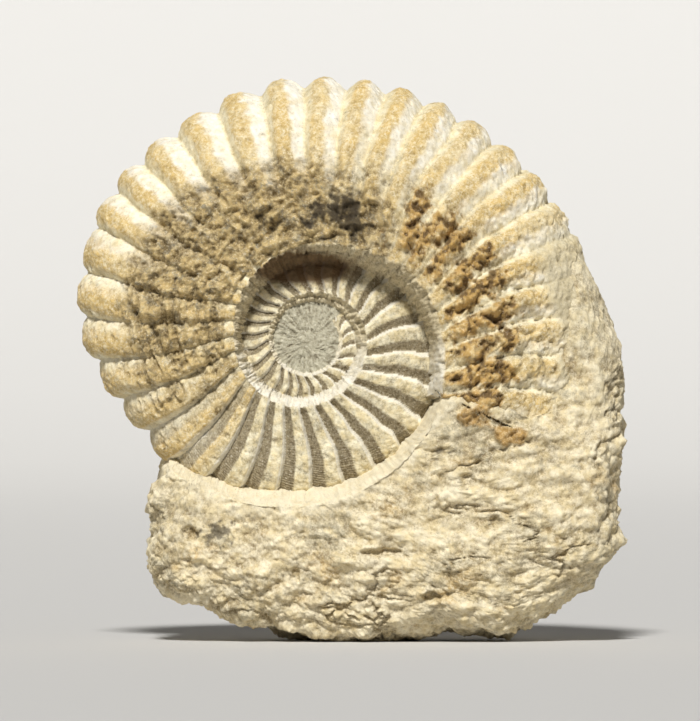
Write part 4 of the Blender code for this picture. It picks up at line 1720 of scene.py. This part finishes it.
@dataclass
class Studio:
    """Plain pale floor with upturned edges, soft lights and the camera."""

    floor_radius: float = 2.6
    cove_radius: float = 1.6
    cove_steps: int = 12
    floor_steps: int = 96
    floor_roughness: float = 0.9
    floor_colour: Colour = tone(202, 200, 196)
    key_strength: float = 3.95
    key_softness: float = 9.0
    key_height: float = 44.0
    key_side: float = -6.0
    fill_strength: float = 0.25
    fill_softness: float = 60.0
    fill_height: float = 10.0
    fill_side: float = 50.0
    ambient: float = 0.10
    target: tuple[float, float, float] = (0.0, 0.0, 0.0700)
    distance: float = 2.2
    pixel: float = 0.00025
    long_side: int = 721
    sensor: float = 36.0

    def floor(self) -> None:
        """Turned floor whose edge curves up all round."""
        profile = [(0.0, 0.0), (self.floor_radius, 0.0)]
        for step in range(1, self.cove_steps + 1):
            angle = QUARTER_TURN * step / self.cove_steps
            out = self.floor_radius + self.cove_radius * math.sin(angle)
            profile.append((out, self.cove_radius * (1 - math.cos(angle))))
        mesh = bpy.data.meshes.new("studio_floor")
        points = [(x, 0.0, z) for x, z in profile]
        mesh.from_pydata(points, [(i, i + 1) for i in range(len(points) - 1)], [])
        floor = bpy.data.objects.new("studio_floor", mesh)
        bpy.context.scene.collection.objects.link(floor)
        turn = floor.modifiers.new("turn", "SCREW")
        turn.steps = turn.render_steps = self.floor_steps
        turn.use_merge_vertices = True
        turn.merge_threshold = 0.0001
        turn.use_smooth_shade = True
        material = bpy.data.materials.new("studio_floor")
        material.use_nodes = True
        shader = material.node_tree.nodes["Principled BSDF"]
        shader.inputs["Base Color"].default_value = (*self.floor_colour, 1.0)
        shader.inputs["Roughness"].default_value = self.floor_roughness
        mesh.materials.append(material)

    def light(self, name: str, side: float, height: float, softness: float, strength: float) -> None:
        """Distant soft light.

        Args:
            name: name of the lamp.
            side: degrees to the right of the camera.
            height: degrees above the floor.
            softness: how wide the lamp looks from the object, in degrees.
            strength: brightness.
        """
        data = bpy.data.lights.new(name, "SUN")
        data.energy = strength
        data.angle = math.radians(softness)
        lamp = bpy.data.objects.new(name, data)
        turn, lift = math.radians(side), math.radians(height)
        lamp.location = (
            math.sin(turn) * math.cos(lift), -math.cos(turn) * math.cos(lift), math.sin(lift)
        )
        lamp.rotation_euler = lamp.location.to_track_quat("Z", "Y").to_euler()
        bpy.context.scene.collection.objects.link(lamp)

    def aim(self, item: bpy.types.Object) -> None:
        """Turns a light or the camera towards the target."""
        towards = Vector(self.target) - item.location
        item.rotation_euler = towards.to_track_quat("-Z", "Y").to_euler()

    def camera(self) -> None:
        """Long lens, square on to the face of the coil."""
        data = bpy.data.cameras.new("camera")
        data.sensor_width = self.sensor
        data.lens = self.sensor * self.distance / (self.long_side * self.pixel)
        data.clip_end = 30.0
        camera = bpy.data.objects.new("camera", data)
        camera.location = (self.target[0], -self.distance, self.target[2])
        self.aim(camera)
        bpy.context.scene.collection.objects.link(camera)
        bpy.context.scene.camera = camera

    def build(self) -> None:
        """Makes the studio."""
        self.floor()
        self.light("key_light", self.key_side, self.key_height, self.key_softness, self.key_strength)
        self.light("fill_light", self.fill_side, self.fill_height, self.fill_softness, self.fill_strength)
        world = bpy.data.worlds.new("studio")
        world.use_nodes = True
        sky = world.node_tree.nodes["Background"]
        sky.inputs["Color"].default_value = (1.0, 1.0, 1.0, 1.0)
        sky.inputs["Strength"].default_value = self.ambient
        bpy.context.scene.world = world
        bpy.context.scene.view_settings.view_transform = "Standard"
        self.camera()


def main() -> None:
    """Builds the studio and the two stones, and notes the sizes."""
    logging.basicConfig(level=logging.INFO, format="%(message)s")
    Studio().build()
    spiral = Spiral()
    made = Coil(spiral).build().pieces(FOSSIL_FINISH.material(), Node.AMMONITE, Slot.FOSSIL)
    made += Block(spiral).build().pieces(MATRIX_FINISH.material(), Node.MATRIX, Slot.MATRIX)
    for piece in made:
        LOG.info("%s: %d triangles", piece.name, len(piece.data.polygons))


if __name__ == "__main__":
    main()
